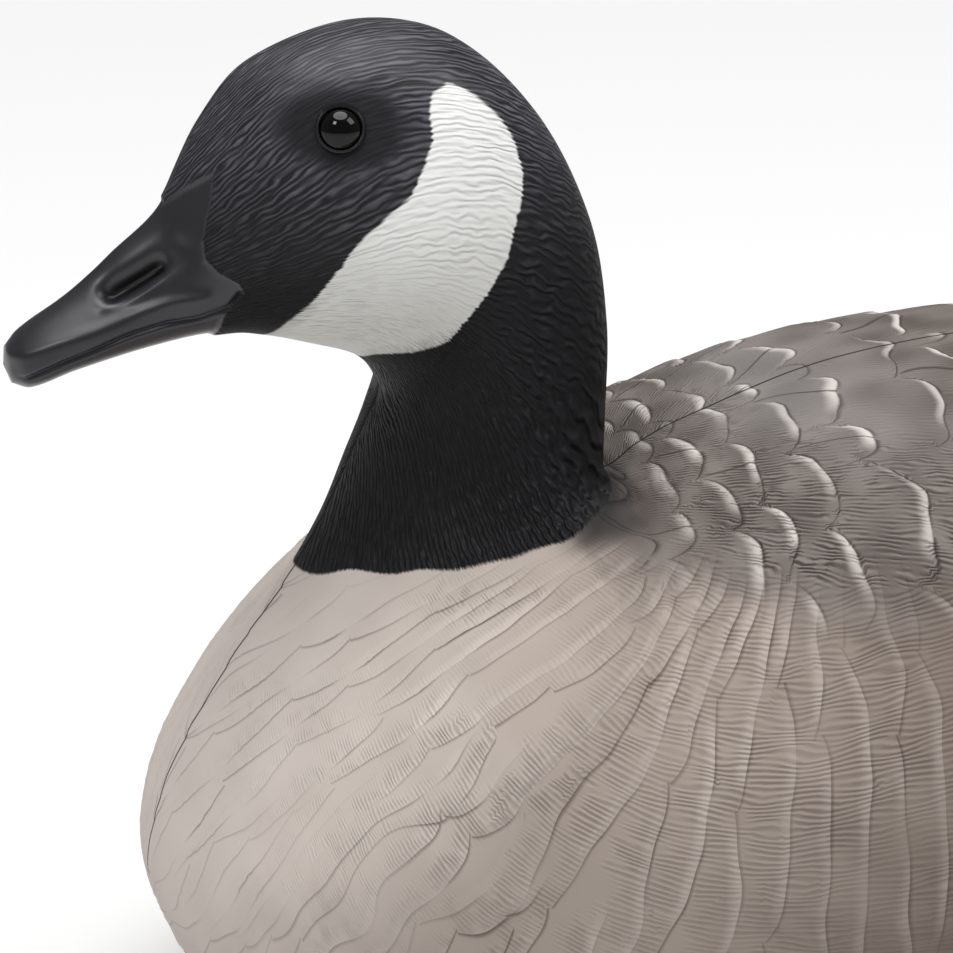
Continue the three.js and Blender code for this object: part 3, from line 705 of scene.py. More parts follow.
# %% Relief of the back, wing and tail
WING_RISE, SEAM_DEPTH, TAIL_GROOVE = 3.0, 0.35, 0.55
wing_part = ease(-1.2, 1.2, wing) * ease(3, -3, neck)
along_wing, off_wing, wing_rows_left = shingles(wing_row, wing_lane, WING_TIP)
wing_mm = sized(WING_ROW)
wing_carve = np.clip(0.9 + 0.2 * wobble(30, 7), 0.4, 1.2) * (1 - 0.85 * tail_part)
wing_carve *= ease(140, 168, behind)
wing_feather = along_wing**1.2 * ease(0, 1.5, wing_rows_left * wing_mm)
wing_feather -= 0.30 * (2 * off_wing) ** 2
at_seam = ease(0.5, 5, sheet[:, :, 0])
wing_to_tip = wing_rows_left * wing_mm
relief += wing_part * wing_carve * (0.028 * wing_mm + 0.45) * (wing_feather - 0.75) * at_seam
relief -= SEAM_DEPTH * ease(1.5, 0, sheet[:, :, 0]) * (1 - on_bill)

BLADE_START, BLADE_REACH = 378.0, 175.0
BLADE_ROOT_OUT, BLADE_END_OUT = 58.0, 9.0
blade_line = BLADE_ROOT_OUT - (BLADE_ROOT_OUT - BLADE_END_OUT) * (behind - BLADE_START) / BLADE_REACH
near_blades = ease(36, 26, np.abs(sheet[:, :, 0] - blade_line)) * ease(366, 386, behind)
relief *= 1 - 0.85 * near_blades * ease(500, 470, behind)

folded = ease(station["breast"], station["shoulders"] + 60, stations)
folded *= 1 - ease(station["loin"] + 30, station["tail root"], stations)
folded_rise = WING_RISE * folded[:, None] * ease(0, 0.25, girths) * ease(-4, 3, wing)
relief += folded_rise

TAIL_FEATHERS = 4.3
tail_half = through_ribs(rib_shape[:, 0], stations)[:, None]
tail_lane = TAIL_FEATHERS * sheet[:, :, 0] / tail_half
from_gap = np.abs(tail_lane - np.rint(tail_lane)) * tail_half / TAIL_FEATHERS
on_tail = ease(500, 512, behind) * (np.rint(tail_lane) > 0)
on_tail *= ease(0.9, 0.6, np.abs(tail_lane / TAIL_FEATHERS))
relief -= TAIL_GROOVE * on_tail * np.exp(-((from_gap / 0.8) ** 2))

relief = np.clip(relief, -4.5, 4.0)
carved = sheet + normals * relief[:, :, None]
under_blades = sheet + normals * (folded_rise - 0.6)[:, :, None]
print("relief, mm:", relief.min().round(2), "to", relief.max().round(2))

# %% [markdown]
# ## Barbs
# Barbs are strokes that run from the shaft of a feather to its edge. They are too fine for the
# mesh, so only their phase and depth are kept for each point. A sine of the phase draws them. They
# are deepest near a feather's tip and come and go in patches, as hand-cut ones do, and a collar of
# them lies under the black neck.

# %% Phase and depth of the barbs
patchy = ripple(barb_across * 0.40, row * 1.3, 22)
barb_phase = 5.03 * barb_across + 2.6 * ripple(barb_across * 0.25, row * 0.9, 21)
reach = 5.0 + 10.0 * ease(60, 190, behind) + 3.0 * patchy
under_neck = ease(-30, -12, neck) * ease(140, 110, behind)
barb_depth = ease(0, 3.5, reach - to_tip) * (1 - 0.85 * under_neck)
barb_depth *= ease(25, 70, behind) * (0.35 + 0.65 * ease(-1.1, 0.1, patchy))
collar = ease(-12, -4, neck) * ease(0, -1.5, neck) * ease(84, 98, behind)
barb_depth = np.maximum(barb_depth, collar * ease(-0.6, 0.6, patchy) * ease(144, 136, behind))
barb_depth *= carve * (1 - wing_part)
wing_phase = 4.1 * above_edge - 0.6 * wing_to_tip
wing_phase += 2.8 * ripple(above_edge * 0.30, top_way[:, None] / 9, 23)
wing_depth = ease(-0.8, 0.6, ripple(above_edge * 0.45, top_way[:, None] / 5, 24))
wing_depth *= (0.25 + 0.75 * ease(178, 160, above)) * wing_carve * wing_part
print("share of the sheet with barbs:", round(float((barb_depth + wing_depth > 0.3).mean()), 2))

# %% [markdown]
# ## From the sheet to a closed hull
# The next steps use Blender's own operators. They act on all that is selected and on the active
# object, and a modifier is only kept in the mesh once it is applied, so two helpers see to that.

# %% Helpers for the edit steps
def only(piece):
    """Selects one object and makes it the active one."""
    bpy.ops.object.select_all(action="DESELECT")
    piece.select_set(True)
    bpy.context.view_layer.objects.active = piece


def apply_modifier(piece, kind, **settings):
    only(piece)
    modifier = piece.modifiers.new(kind.lower(), kind)
    for name, value in settings.items():
        setattr(modifier, name, value)
    bpy.ops.object.modifier_apply(modifier=modifier.name)


def merge_and_face_out(piece, nearer_than):
    """Merges the points that lie on each other and turns all faces outwards."""
    only(piece)
    bpy.ops.object.mode_set(mode="EDIT")
    bpy.ops.mesh.select_all(action="SELECT")
    bpy.ops.mesh.remove_doubles(threshold=nearer_than)
    bpy.ops.mesh.normals_make_consistent(inside=False)
    bpy.ops.object.mode_set(mode="OBJECT")


def triangles(piece):
    return sum(len(face.vertices) - 2 for face in piece.data.polygons)


print("tools used:", [tool.__name__ for tool in (only, apply_modifier, merge_and_face_out)])

# %% [markdown]
# A grid from Blender's own menu is the sheet. Its points are numbered by their place on the flat
# grid, so each can be moved to its place on the bird. The grid's first and last rows shrink to the
# two tips, a mirror gives the other side, and doubled points are merged along the middle. What the
# paint needs to know, such as the distance from a border, travels with each point as a value.

# %% Build the hull
FIELDS = {
    "along": hair_along, "across": hair_across,
    "row": row, "lane": lane, "wide": wide, "nostril": far_from(NOSTRIL),
    "barb_phase": barb_phase, "barb_depth": barb_depth,
    "wing_phase": wing_phase, "wing_depth": wing_depth,
    "wing_row": wing_row, "wing_lane": wing_lane, "wing": wing, "cheek": cheek,
    "neck": neck, "bill": bill, "carve": carve,
    "swell": wobble(17, 11), "row_size": row_mm, "wing_size": wing_mm, "wing_width": sized(WING_LANE),
}
TIPS = np.array([[0, 0, 191.3], [0, 577.0, 108.0]])
rows_of_points = np.concatenate([
    np.repeat(TIPS[:1, None], len(girths), axis=1), carved,
    np.repeat(TIPS[1:, None], len(girths), axis=1),
])
rows_of_points[:, (0, -1), 0] = 0
rows_of_points[:, :, 2] = np.maximum(rows_of_points[:, :, 2], 0)
in_metres = rows_of_points / 1000 + (0, hull_low.y, 0)
in_metres = np.clip(in_metres, tuple(hull_low), tuple(hull_high))

row_steps, column_steps = len(in_metres) - 1, len(girths) - 1
bpy.ops.mesh.primitive_grid_add(x_subdivisions=column_steps, y_subdivisions=row_steps, size=2)
hull = bpy.context.object
hull.name = "hull"
flat = np.zeros(len(hull.data.vertices) * 3, np.float32)
hull.data.vertices.foreach_get("co", flat)
flat = flat.reshape(-1, 3)
column_of = np.rint((flat[:, 0] + 1) / 2 * column_steps).astype(int)
row_of = np.rint((flat[:, 1] + 1) / 2 * row_steps).astype(int)
hull.data.vertices.foreach_set("co", in_metres[row_of, column_of].astype(np.float32).ravel())
for name, field in FIELDS.items():
    padded = np.concatenate([field[:1], field, field[-1:]])
    values = hull.data.attributes.new(name, "FLOAT", "POINT")
    values.data.foreach_set("value", padded[row_of, column_of].astype(np.float32))
apply_modifier(hull, "MIRROR", merge_threshold=1e-6)
merge_and_face_out(hull, 2e-6)
print("hull:", len(hull.data.vertices), "points,", triangles(hull), "triangles")

# %% [markdown]
# ## Eyes
# A decoy's eye is a shallow dome on a short stem, glued into a drilled hole, and the lid is a bead
# round it. The solid eye gives its place: the axis of a turned form is the one direction in which
# its points spread differently from the other two.

# %% Where the left eye sits
EYE_RADIUS, DOME_HEIGHT, EYE_DEPTH = 0.0050, 0.0028, 0.0045
SOCKET_RADIUS = 0.00535
LID_RADIUS, LID_BEAD = 0.00548, 0.00044
ROUND = 72
eye_solid = bpy.data.objects["eye_left"]
eye_points = np.array([eye_solid.matrix_world @ vertex.co for vertex in eye_solid.data.vertices])
eye_points = np.unique(eye_points.round(7), axis=0)
spreads, ways = np.linalg.eigh(np.cov(eye_points.T))
odd_one = np.argmax(np.abs(spreads - np.median(spreads)))
eye_way = Vector(ways[:, odd_one] * np.sign(ways[0, odd_one]))
eye_top = float((eye_points @ np.array(eye_way)).max())
middle_line = Vector(eye_points.mean(axis=0))
eye_seat = middle_line + (eye_top - DOME_HEIGHT - middle_line.dot(eye_way)) * eye_way
print("eye seat, mm:", [round(1000 * side, 1) for side in eye_seat])


def eye_axis(side):
    """The seat of an eye, the way it looks and its turn. Side is 1 on the left, -1 on the right."""
    seat = Vector((side * eye_seat.x, eye_seat.y, eye_seat.z))
    way = Vector((side * eye_way.x, eye_way.y, eye_way.z))
    return seat, way, way.to_track_quat("Z", "Y").to_euler()


def bake_place(piece):
    """Moves an object's place and turn into its mesh."""
    only(piece)
    bpy.ops.object.transform_apply(location=True, rotation=True, scale=True)


def combine(piece, other, operation):
    apply_modifier(piece, "BOOLEAN", operation=operation, solver="MANIFOLD", object=other)
    bpy.data.objects.remove(other)


def mirror_piece(piece):
    apply_modifier(piece, "MIRROR", use_mirror_merge=False)


# %% [markdown]
# The dome is the cap of a slightly larger ball. A cylinder and a ball, both from the menu, are placed
# on the eye's axis, and what they share is the eye. Cutting it from true round forms keeps the
# reflection in it clean.

# %% Eyes
def make_eye(name, side):
    """One eye, set in the left or right side of the head."""
    seat, way, turn = eye_axis(side)
    dome_radius = (EYE_RADIUS**2 + DOME_HEIGHT**2) / (2 * DOME_HEIGHT)
    stem = EYE_DEPTH + DOME_HEIGHT + 0.001
    middle = seat + (stem / 2 - EYE_DEPTH) * way
    bpy.ops.mesh.primitive_cylinder_add(
        vertices=ROUND, radius=EYE_RADIUS * 0.99, depth=stem, location=middle, rotation=turn)
    eye = bpy.context.object
    eye.name = name
    bake_place(eye)
    centre = seat + (DOME_HEIGHT * 0.99 - dome_radius) * way
    bpy.ops.mesh.primitive_uv_sphere_add(
        segments=ROUND, ring_count=ROUND, radius=dome_radius, location=centre, rotation=turn)
    combine(eye, bpy.context.object, "INTERSECT")
    only(eye)
    bpy.ops.object.shade_smooth_by_angle(angle=math.radians(30))
    return eye


eyes = {side: make_eye("glass_eye_" + side, 1 if side == "left" else -1)
        for side in ("left", "right")}
print("eye triangles:", triangles(eyes["left"]))

# %% [markdown]
# ## Folded wing tips
# The long flight feathers of the folded wing lie on the rump like a closed fan. Each blade is a
# narrow grid that follows the back, thickened downwards, and each ends further back than the one
# above it. Its root is sunk, so that it grows out of the back without a step. A ray from above finds
# the back under each point.

# %% Lay the blades on the rump
BLADE_COUNT, BLADE_HALF, BLADE_THICKNESS = 5, 23.0, 0.0042
BLADE_COLUMNS, BLADE_ROWS = 12, 60
BLADE_FIELDS = ("along", "across", "wing_row", "wing_lane", "wing_phase", "from_rim")
# The same all over a blade: it is wing and far from the other parts' borders
BLADE_LEVELS = {"wing": 40, "neck": -60, "bill": -60, "cheek": -60, "wing_depth": 0.3,
                "wing_size": 22, "wing_width": 20, "nostril": 90, "blade": 1}
corner = np.arange(len(stations) * len(girths)).reshape(len(stations), len(girths))
quads = np.stack([corner[:-1, :-1], corner[:-1, 1:], corner[1:, 1:], corner[1:, :-1]], axis=2)
rump_tree = BVHTree.FromPolygons(under_blades.reshape(-1, 3).tolist(), quads.reshape(-1, 4).tolist())


def on_rump(out, back):
    """The place on the plain form under a point of the plan, and the way out there, in mm."""
    spot, normal, _, _ = rump_tree.ray_cast(Vector((out, back, 400)), Vector((0, 0, -1)))
    return np.array(spot), np.array(normal) * np.sign(normal.z)


def blade_point(number, across_it, along_it):
    """One point of a blade in mm, and the values that the paint reads there."""
    reach = 0.4 + 0.6 * number / (BLADE_COUNT - 1)
    half = BLADE_HALF * (1 - number / (BLADE_COUNT + 0.6))
    share = reach * along_it * 0.985
    x = BLADE_ROOT_OUT + (BLADE_END_OUT - BLADE_ROOT_OUT) * share
    point, normal = on_rump(x, BLADE_START + BLADE_REACH * share)
    ahead, _ = on_rump(x - 0.98, BLADE_START + BLADE_REACH * (share + 0.02))
    way = (ahead - point) / np.linalg.norm(ahead - point)
    outwards = np.cross(normal, way)
    outwards *= np.sign(outwards[0])
    tip = max(0, (along_it - 0.72) / 0.28)
    width = half * math.sqrt(max(0, 1 - tip**2.1)) * (0.7 + 0.3 * math.sqrt(along_it))
    root = (1 - min(1, share / 0.32)) ** 2
    lift = 0.9 + 0.6 * (BLADE_COUNT - 1 - number) - root * (7.5 + 5.0 * across_it**2)
    shaft = 0.45 * math.exp(-((across_it * half) ** 2))
    camber = -0.9 * across_it**2 + shaft
    inner = -0.45 * half * (1 - across_it) / 2
    place = point + outwards * (across_it * width + inner) + normal * (lift + camber)
    barb = BLADE_REACH * reach * along_it
    fields = (barb, across_it * width, 20.12 + 0.8 * along_it, 5 + 0.46 * across_it,
              4.4 * (abs(across_it) * width * 0.84 - barb * 0.5), (1 - abs(across_it)) * width)
    return place, fields


def make_blade(number):
    """One blade on the left. Number 0 is the shortest and lies on top."""
    bpy.ops.mesh.primitive_grid_add(x_subdivisions=BLADE_COLUMNS, y_subdivisions=BLADE_ROWS, size=2)
    blade = bpy.context.object
    found = [blade_point(number, vertex.co.x, (vertex.co.y + 1) / 2)
             for vertex in blade.data.vertices]
    places = [place / 1000 + (0, hull_low.y, 0) for place, _ in found]
    blade.data.vertices.foreach_set("co", np.array(places, np.float32).ravel())
    columns = dict(zip(BLADE_FIELDS, np.array([fields for _, fields in found], np.float32).T))
    columns.update((name, np.full(len(places), level, np.float32))
                   for name, level in BLADE_LEVELS.items())
    for name, column in columns.items():
        values = blade.data.attributes.new(name, "FLOAT", "POINT")
        values.data.foreach_set("value", column.copy())
    apply_modifier(blade, "SOLIDIFY", thickness=BLADE_THICKNESS, offset=-1)
    merge_and_face_out(blade, 1e-6)
    return blade


blades = [make_blade(number) for number in range(BLADE_COUNT)]
print("triangles of the blades:", [triangles(blade) for blade in blades])

# %% [markdown]
# The hull, blades and lids are moulded in one, so they become one closed mesh: the blades and lids
# are united with the hull, and the sockets are cut out of it. A loose copy of hull and blades is kept
# for a moment, because it still has the values of every point, which the cuts lose.

# %% Join the blades, lids and sockets
def joined_copy(pieces):
    """One mesh with copies of all the pieces in it."""
    bpy.ops.object.select_all(action="DESELECT")
    for piece in pieces:
        piece.select_set(True)
    bpy.context.view_layer.objects.active = pieces[0]
    bpy.ops.object.duplicate()
    bpy.ops.object.join()
    return bpy.context.object


for blade in blades:
    mirror_piece(blade)
carrier = joined_copy([hull] + blades)
carrier.name = "value_carrier"

for blade in blades:
    combine(hull, blade, "UNION")
for side in (1, -1):
    seat, way, turn = eye_axis(side)
    bpy.ops.mesh.primitive_cylinder_add(
        vertices=ROUND, radius=SOCKET_RADIUS, depth=0.012, rotation=turn,
        location=seat + (0.006 - EYE_DEPTH) * way)
    combine(hull, bpy.context.object, "DIFFERENCE")
    bpy.ops.mesh.primitive_torus_add(
        location=seat - 0.0001 * way, rotation=turn, major_segments=ROUND, minor_segments=14,
        major_radius=LID_RADIUS, minor_radius=LID_BEAD)
    combine(hull, bpy.context.object, "UNION")
print("hull with blades and lids:", triangles(hull), "triangles")

# %% [markdown]
# The hull is thinned to under 200,000 triangles. Decimate takes them where the surface is flattest,
# such as the belly, and leaves the feather edges alone.

# %% Thin out the mesh where it is smooth
HULL_TRIANGLES = 196000
apply_modifier(hull, "DECIMATE", ratio=HULL_TRIANGLES / triangles(hull))
print("hull thinned to", triangles(hull), "triangles")

# %% [markdown]
# The paint reads its values from the points, and the thinned mesh has new ones. Each gets its values
# back from the nearest place on the loose copy, mixed from the three corners of the triangle there.

# %% Carry the values over to the new points
def carry_values(source, target):
    """Gives every point of the target the values at the nearest place on the source."""
    source.data.calc_loop_triangles()
    corners = np.zeros(len(source.data.loop_triangles) * 3, np.int32)
    source.data.loop_triangles.foreach_get("vertices", corners)
    corners = corners.reshape(-1, 3)
    points = np.zeros(len(source.data.vertices) * 3, np.float32)
    source.data.vertices.foreach_get("co", points)
    points = points.reshape(-1, 3).astype(float)
    wanted = np.zeros(len(target.data.vertices) * 3, np.float32)
    target.data.vertices.foreach_get("co", wanted)
    wanted = wanted.reshape(-1, 3)
    tree = BVHTree.FromPolygons(points.tolist(), corners.tolist())
    found = [tree.find_nearest(point) for point in wanted.tolist()]
    faces = np.array([hit[2] for hit in found])
    spots = np.array([hit[0] for hit in found])
    a, b, c = (points[corners[faces, n]] for n in range(3))
    whole = np.maximum(np.linalg.norm(np.cross(b - a, c - a), axis=1), 1e-16)
    share_a = np.linalg.norm(np.cross(b - spots, c - spots), axis=1) / whole
    share_b = np.linalg.norm(np.cross(c - spots, a - spots), axis=1) / whole
    share_a, share_b = np.clip(share_a, 0, 1), np.clip(share_b, 0, 1)
    share_c = np.clip(1 - share_a - share_b, 0, 1)
    for values in source.data.attributes:
        if values.data_type != "FLOAT" or values.domain != "POINT" or values.is_internal:
            continue
        old = np.zeros(len(points), np.float32)
        values.data.foreach_get("value", old)
        new = sum(share * old[corners[faces, n]]
                  for n, share in enumerate((share_a, share_b, share_c)))
        if values.name in target.data.attributes:
            target.data.attributes.remove(target.data.attributes[values.name])
        fresh = target.data.attributes.new(values.name, "FLOAT", "POINT")
        fresh.data.foreach_set("value", new.astype(np.float32))
        print(values.name, "from", new.min().round(1), "to", new.max().round(1))


carry_values(carrier, hull)
bpy.data.objects.remove(carrier)
only(hull)
bpy.ops.object.shade_smooth_by_angle(angle=math.radians(48))

# %% [markdown]
# ## Writing paint as sums
# A painted finish is a stack of masks: where the black ends, where a feather's tip is, how far the
# airbrush reached. With a small class for a node's output, such masks can be written as ordinary
# sums, so the recipe stays readable.

# %% Sums of node outputs
class Value:
    """The output of a node, with the usual signs for sums."""

    def __init__(self, paint, output):
        self.paint, self.output = paint, output

    def math(self, operation, *others):
        inputs = dict(enumerate((self,) + others))
        return self.paint.node("ShaderNodeMath", {"operation": operation}, inputs)

    def __add__(self, other):
        return self.math("ADD", other)

    def __sub__(self, other):
        return self.math("SUBTRACT", other)

    def __mul__(self, other):
        return self.math("MULTIPLY", other)

    def __truediv__(self, other):
        return self.math("DIVIDE", other)

    def __rsub__(self, other):
        return self.paint.node("ShaderNodeMath", {"operation": "SUBTRACT"}, {0: other, 1: self})

    __radd__ = __add__
    __rmul__ = __mul__

    def size(self):
        return self.math("ABSOLUTE")

    def ramp(self, low, high):
        """Goes softly from 0 at low to 1 at high."""
        return self.paint.node(
            "ShaderNodeMapRange", {"interpolation_type": "SMOOTHSTEP"},
            {"Value": self, "From Min": low, "From Max": high})


class Paint:
    """A material whose nodes are made one call at a time."""

    def __init__(self, name):
        self.material = bpy.data.materials.new(name)
        self.material.use_nodes = True
        self.tree = self.material.node_tree
        self.shader = self.tree.nodes["Principled BSDF"]

    def node(self, kind, settings=None, inputs=None, output=0):
        """Makes a node, sets it up, links or sets its inputs and hands back one output."""
        node = self.tree.nodes.new(kind)
        for name, value in (settings or {}).items():
            setattr(node, name, value)
        for name, value in (inputs or {}).items():
            self.feed(node.inputs[name], value)
        return Value(self, node.outputs[output])

    def feed(self, socket, value):
        if isinstance(value, Value):
            self.tree.links.new(value.output, socket)
        else:
            socket.default_value = value

    def field(self, name):
        return self.node("ShaderNodeAttribute", {"attribute_name": name}, output="Fac")

    def blend(self, share, first, second):
        """A colour between two colours."""
        node = self.tree.nodes.new("ShaderNodeMix")
        node.data_type = "RGBA"
        for socket, value in zip((node.inputs[0], node.inputs[6], node.inputs[7]),
                                 (share, first, second)):
            self.feed(socket, value)
        return Value(self, node.outputs[2])

    def point(self, x, y, z=0.0):
        return self.node("ShaderNodeCombineXYZ", {}, {"X": x, "Y": y, "Z": z})

    def noise(self, place, detail=0.0):
        """Random swells between about -1 and 1."""
        raw = self.node("ShaderNodeTexNoise", {"noise_dimensions": "3D"}, {
            "Vector": place, "Scale": 1.0, "Detail": detail})
        return (raw - 0.5) * 2.6


def srgb(red, green, blue):
    """A colour as the eye reads it, from 0 to 255, as the light that it reflects."""
    light = [(c / 255 / 12.92) if c < 10.5 else ((c / 255 + 0.055) / 1.055) ** 2.4
             for c in (red, green, blue)]
    return (*light, 1)


# %% [markdown]
# ## The painted plastic
# One material covers the whole moulding. It reads the place of each point in millimetres from the
# bill tip, and the values that the hull carries. The hair of the head and neck is drawn first, because
# the borders of the paint fray along it. It is a sine across the lie of the coat, bent and broken up
# by noise that is stretched along the lie.

# %% Places and hair
p = Paint("painted_plastic")
places = p.node("ShaderNodeTexCoord", output="Object")
parts = p.node("ShaderNodeSeparateXYZ", {}, {"Vector": places}).output.node.outputs
x_mm = Value(p, parts["X"]) * 1000
y_mm = (Value(p, parts["Y"]) - hull_low.y) * 1000
z_mm = Value(p, parts["Z"]) * 1000
along, across_it = p.field("along"), p.field("across")
bill_in, cheek_in, neck_in, wing_in = (p.field(name) for name in ("bill", "cheek", "neck", "wing"))
blade_in = p.field("blade")

hair_bend = p.noise(p.point(across_it * 0.38, along / 5.5), detail=1.0)
hair_gaps = p.noise(p.point(across_it * 0.60, along / 4.0, 5.0))
fine_hair = p.noise(p.point(along / 4.0, across_it / 0.6, 7.0))
on_neck = z_mm.ramp(196.0, 170.0)
head_hair = (across_it * 4.6 + hair_bend * 5.2).math("SINE")
neck_hair = (across_it * 2.5 + hair_bend * 3.0).math("SINE")
hair = head_hair + (neck_hair - head_hair) * on_neck
hair = hair * hair_gaps.ramp(-1.1, 0.5) + hair_gaps * 0.35
swell = p.field("swell") * 0.7
print("nodes so far:", len(p.tree.nodes))

# %% [markdown]
# A factory decoy is masked and sprayed, so the masks come next. Each is 1 inside its part and 0
# outside, and goes softly from one to the other over the width of a sprayed edge. The photo shows
# the hair worn smooth round the eye and low on the cheek, so it fades out there.

# %% Masks of the parts
bill_mask = (bill_in + swell * 0.15).ramp(-0.25, 0.25)
cheek_mask = (cheek_in + fine_hair * 0.35 + hair * 0.15 + swell * 0.6).ramp(-0.35, 0.40)
neck_mask = (neck_in + fine_hair * 0.2 + swell * 0.6).ramp(-0.35, 0.35)
eye_xyz = p.point(x_mm.size(), y_mm, z_mm)
eye_spot = tuple(1000 * c for c in (eye_seat.x, eye_seat.y - hull_low.y, eye_seat.z))
from_eye = p.node("ShaderNodeVectorMath", {"operation": "DISTANCE"},
                  {0: eye_xyz, 1: eye_spot}, output="Value")
lid_mask = from_eye.ramp(6.6, 6.1)
round_eye = ((y_mm - 80) * (y_mm - 80) / 220 + (z_mm - 250) * (z_mm - 250) / 80).math("SQRT")
smooth_patch = (round_eye + swell * 0.15).ramp(1.35, 0.75)
smooth_cheek = cheek_in.ramp(0.0, 4.0) * z_mm.ramp(226.0, 202.0)
hair = hair * (1 - smooth_patch * 0.9) * (1 - smooth_cheek * 0.75) * (0.85 + swell * 0.25)
print("the left eye lies at", [round(side, 1) for side in eye_spot], "mm")

# %% [markdown]
# The paint also has to know where the feather edges are, more sharply than the mesh does. So the
# same curve of tips that carved them is worked out once more, now in nodes, from the row and the lane.

# %% Feather edges in the paint
def shingle_masks(rows, lanes, size, tip_shape):
    """The same feathers as were carved. Hands back the distance in mm from the feather in front,
    the distance to the own tip, how far off the middle line, and a number by chance."""
    depth, parabola, high, scatter = tip_shape

    def lane_of(n):
        return lanes + n.math("FLOORED_MODULO", 2.0) * 0.5

    def chance_of(n):
        return (n * ROW_CHANCE + lane_of(n).math("FLOOR") * LANE_CHANCE).math("FRACT")

    def tip(n):
        off = (lane_of(n).math("FRACT") - 0.5) * 2 - high
        share = (off / (1 - high)).math("MAXIMUM", off / (-1 - high))
        square = share * share
        drop = square * parabola + square * square * square * (1 - parabola)
        return n + 1 - drop * depth - chance_of(n) * scatter

    own = rows.math("FLOOR")
    own = own + rows.math("GREATER_THAN", tip(own))
    off_middle = lane_of(own).math("FRACT") - 0.5
    return ((rows - tip(own - 1)) * size, (tip(own) - rows) * size, off_middle, chance_of(own))


row_size, wing_size, wing_width = p.field("row_size"), p.field("wing_size"), p.field("wing_width")
body_row, body_lane, wide_in = p.field("row"), p.field("lane"), p.field("wide")
body_feathers = shingle_masks(body_row, body_lane, row_size, BREAST_TIP)
between_feathers = shingle_masks(
    body_row + BETWEEN_ROWS, body_lane * BETWEEN_SCALE + BETWEEN_LANES, row_size, BREAST_TIP)
since_wing, before_wing, off_wing_in, chance_wing = shingle_masks(
    p.field("wing_row"), p.field("wing_lane"), wing_size, WING_TIP)
carve_in = p.field("carve")
print("nodes so far:", len(p.tree.nodes))

# %% [markdown]
# Three kinds of fine line are drawn over the feathers: the barbs, the shaft of some feathers of the
# back, and the groove in front of each tip, painted dark as shade, with the paler rim behind it,
# which is partly a painted highlight. The seam of the two halves of the mould runs down the middle.

# %% Fine lines
body_barbs = p.field("barb_phase").math("SINE") * p.field("barb_depth")
off_joint = (blade_in - 0.5).size().ramp(0.42, 0.49)
wing_barbs = p.field("wing_phase").math("SINE") * p.field("wing_depth") * off_joint
off_mm = off_wing_in * wing_width
shaft = (off_mm - 1.5).size().ramp(0.75, 0.20) * since_wing.ramp(0.5, 3.0)
shaft = shaft * chance_wing.ramp(0.62, 0.72) * off_joint


def edge_masks(feathers, share):
    """The groove in front of a tip, painted dark as shade, and its paler rim, partly a painted
    highlight. They fade where two tips meet.
    """
    since, before, off_middle, chance = feathers
    strength = off_middle.size().ramp(0.49, 0.30) * (0.45 + chance * 0.55) * share
    return since.ramp(1.1, 0.0) * strength, before.ramp(3.5, 0.2) * strength


body_groove_shade, body_rim_and_highlight = (
    one.math("MAXIMUM", other) for one, other in zip(
        edge_masks(body_feathers, 1), edge_masks(between_feathers, wide_in)))
wing_strength = off_wing_in.ramp(-0.5, -0.3) * (0.6 + chance_wing * 0.4) * off_joint
wing_groove_shade = since_wing.ramp(1.1, 0.0) * wing_strength
seam = x_mm.size().ramp(0.60, 0.25)
print("nodes so far:", len(p.tree.nodes))

# %% [markdown]
# The coats follow in the order in which they are sprayed. The first is taupe on the breast, browner
# and darker along the flank, with white round the vent, and it is painted darker lower down as shade.
# A dry brush catches the raised feather edges, partly as a painted highlight, and the grooves are
# painted dark as shade.

# %% Colours of the breast and flank
LIGHT_TAUPE, TAUPE, BROWN = srgb(208, 198, 191), srgb(152, 140, 131), srgb(88, 75, 66)
GROOVE_SHADE_BROWN, VENT_WHITE = srgb(92, 78, 70), srgb(214, 210, 203)
# Darker towards the flank, and darker lower down as painted shade
to_flank_and_shade = (y_mm + (140 - z_mm) * 0.6 + swell * 4).ramp(58.0, 138.0)
to_brown = (y_mm + (120 - z_mm).size() * 0.30 + swell * 10).ramp(125.0, 250.0)
colour = p.blend(to_flank_and_shade * 0.95, LIGHT_TAUPE, TAUPE)
colour = p.blend(to_brown * 0.85, colour, BROWN)
colour = p.blend(body_barbs.ramp(0.1, 1.0) * 0.35, colour, BROWN)
# Paler rims, dry-brushed and partly a painted highlight, and grooves painted dark as shade
colour = p.blend(body_rim_and_highlight * carve_in * (0.45 - to_brown * 0.2), colour, LIGHT_TAUPE)
colour = p.blend(body_groove_shade * carve_in, colour, GROOVE_SHADE_BROWN)
white_from = 395 + z_mm.ramp(40.0, 130.0) * 75
vent = (y_mm - white_from + body_barbs * 2).ramp(-2.5, 2.5)
colour = p.blend(vent, colour, VENT_WHITE)
print("nodes so far:", len(p.tree.nodes))

# %% [markdown]
# The back is greyer near the neck and browner behind. Each of its feathers has a pale crescent on
# the upper half of its tip, the barbs are lined in dark, and the wing tips and the tail are nearly
# black. This coat is blown over the edge of the wing, so it fades out on the flank.

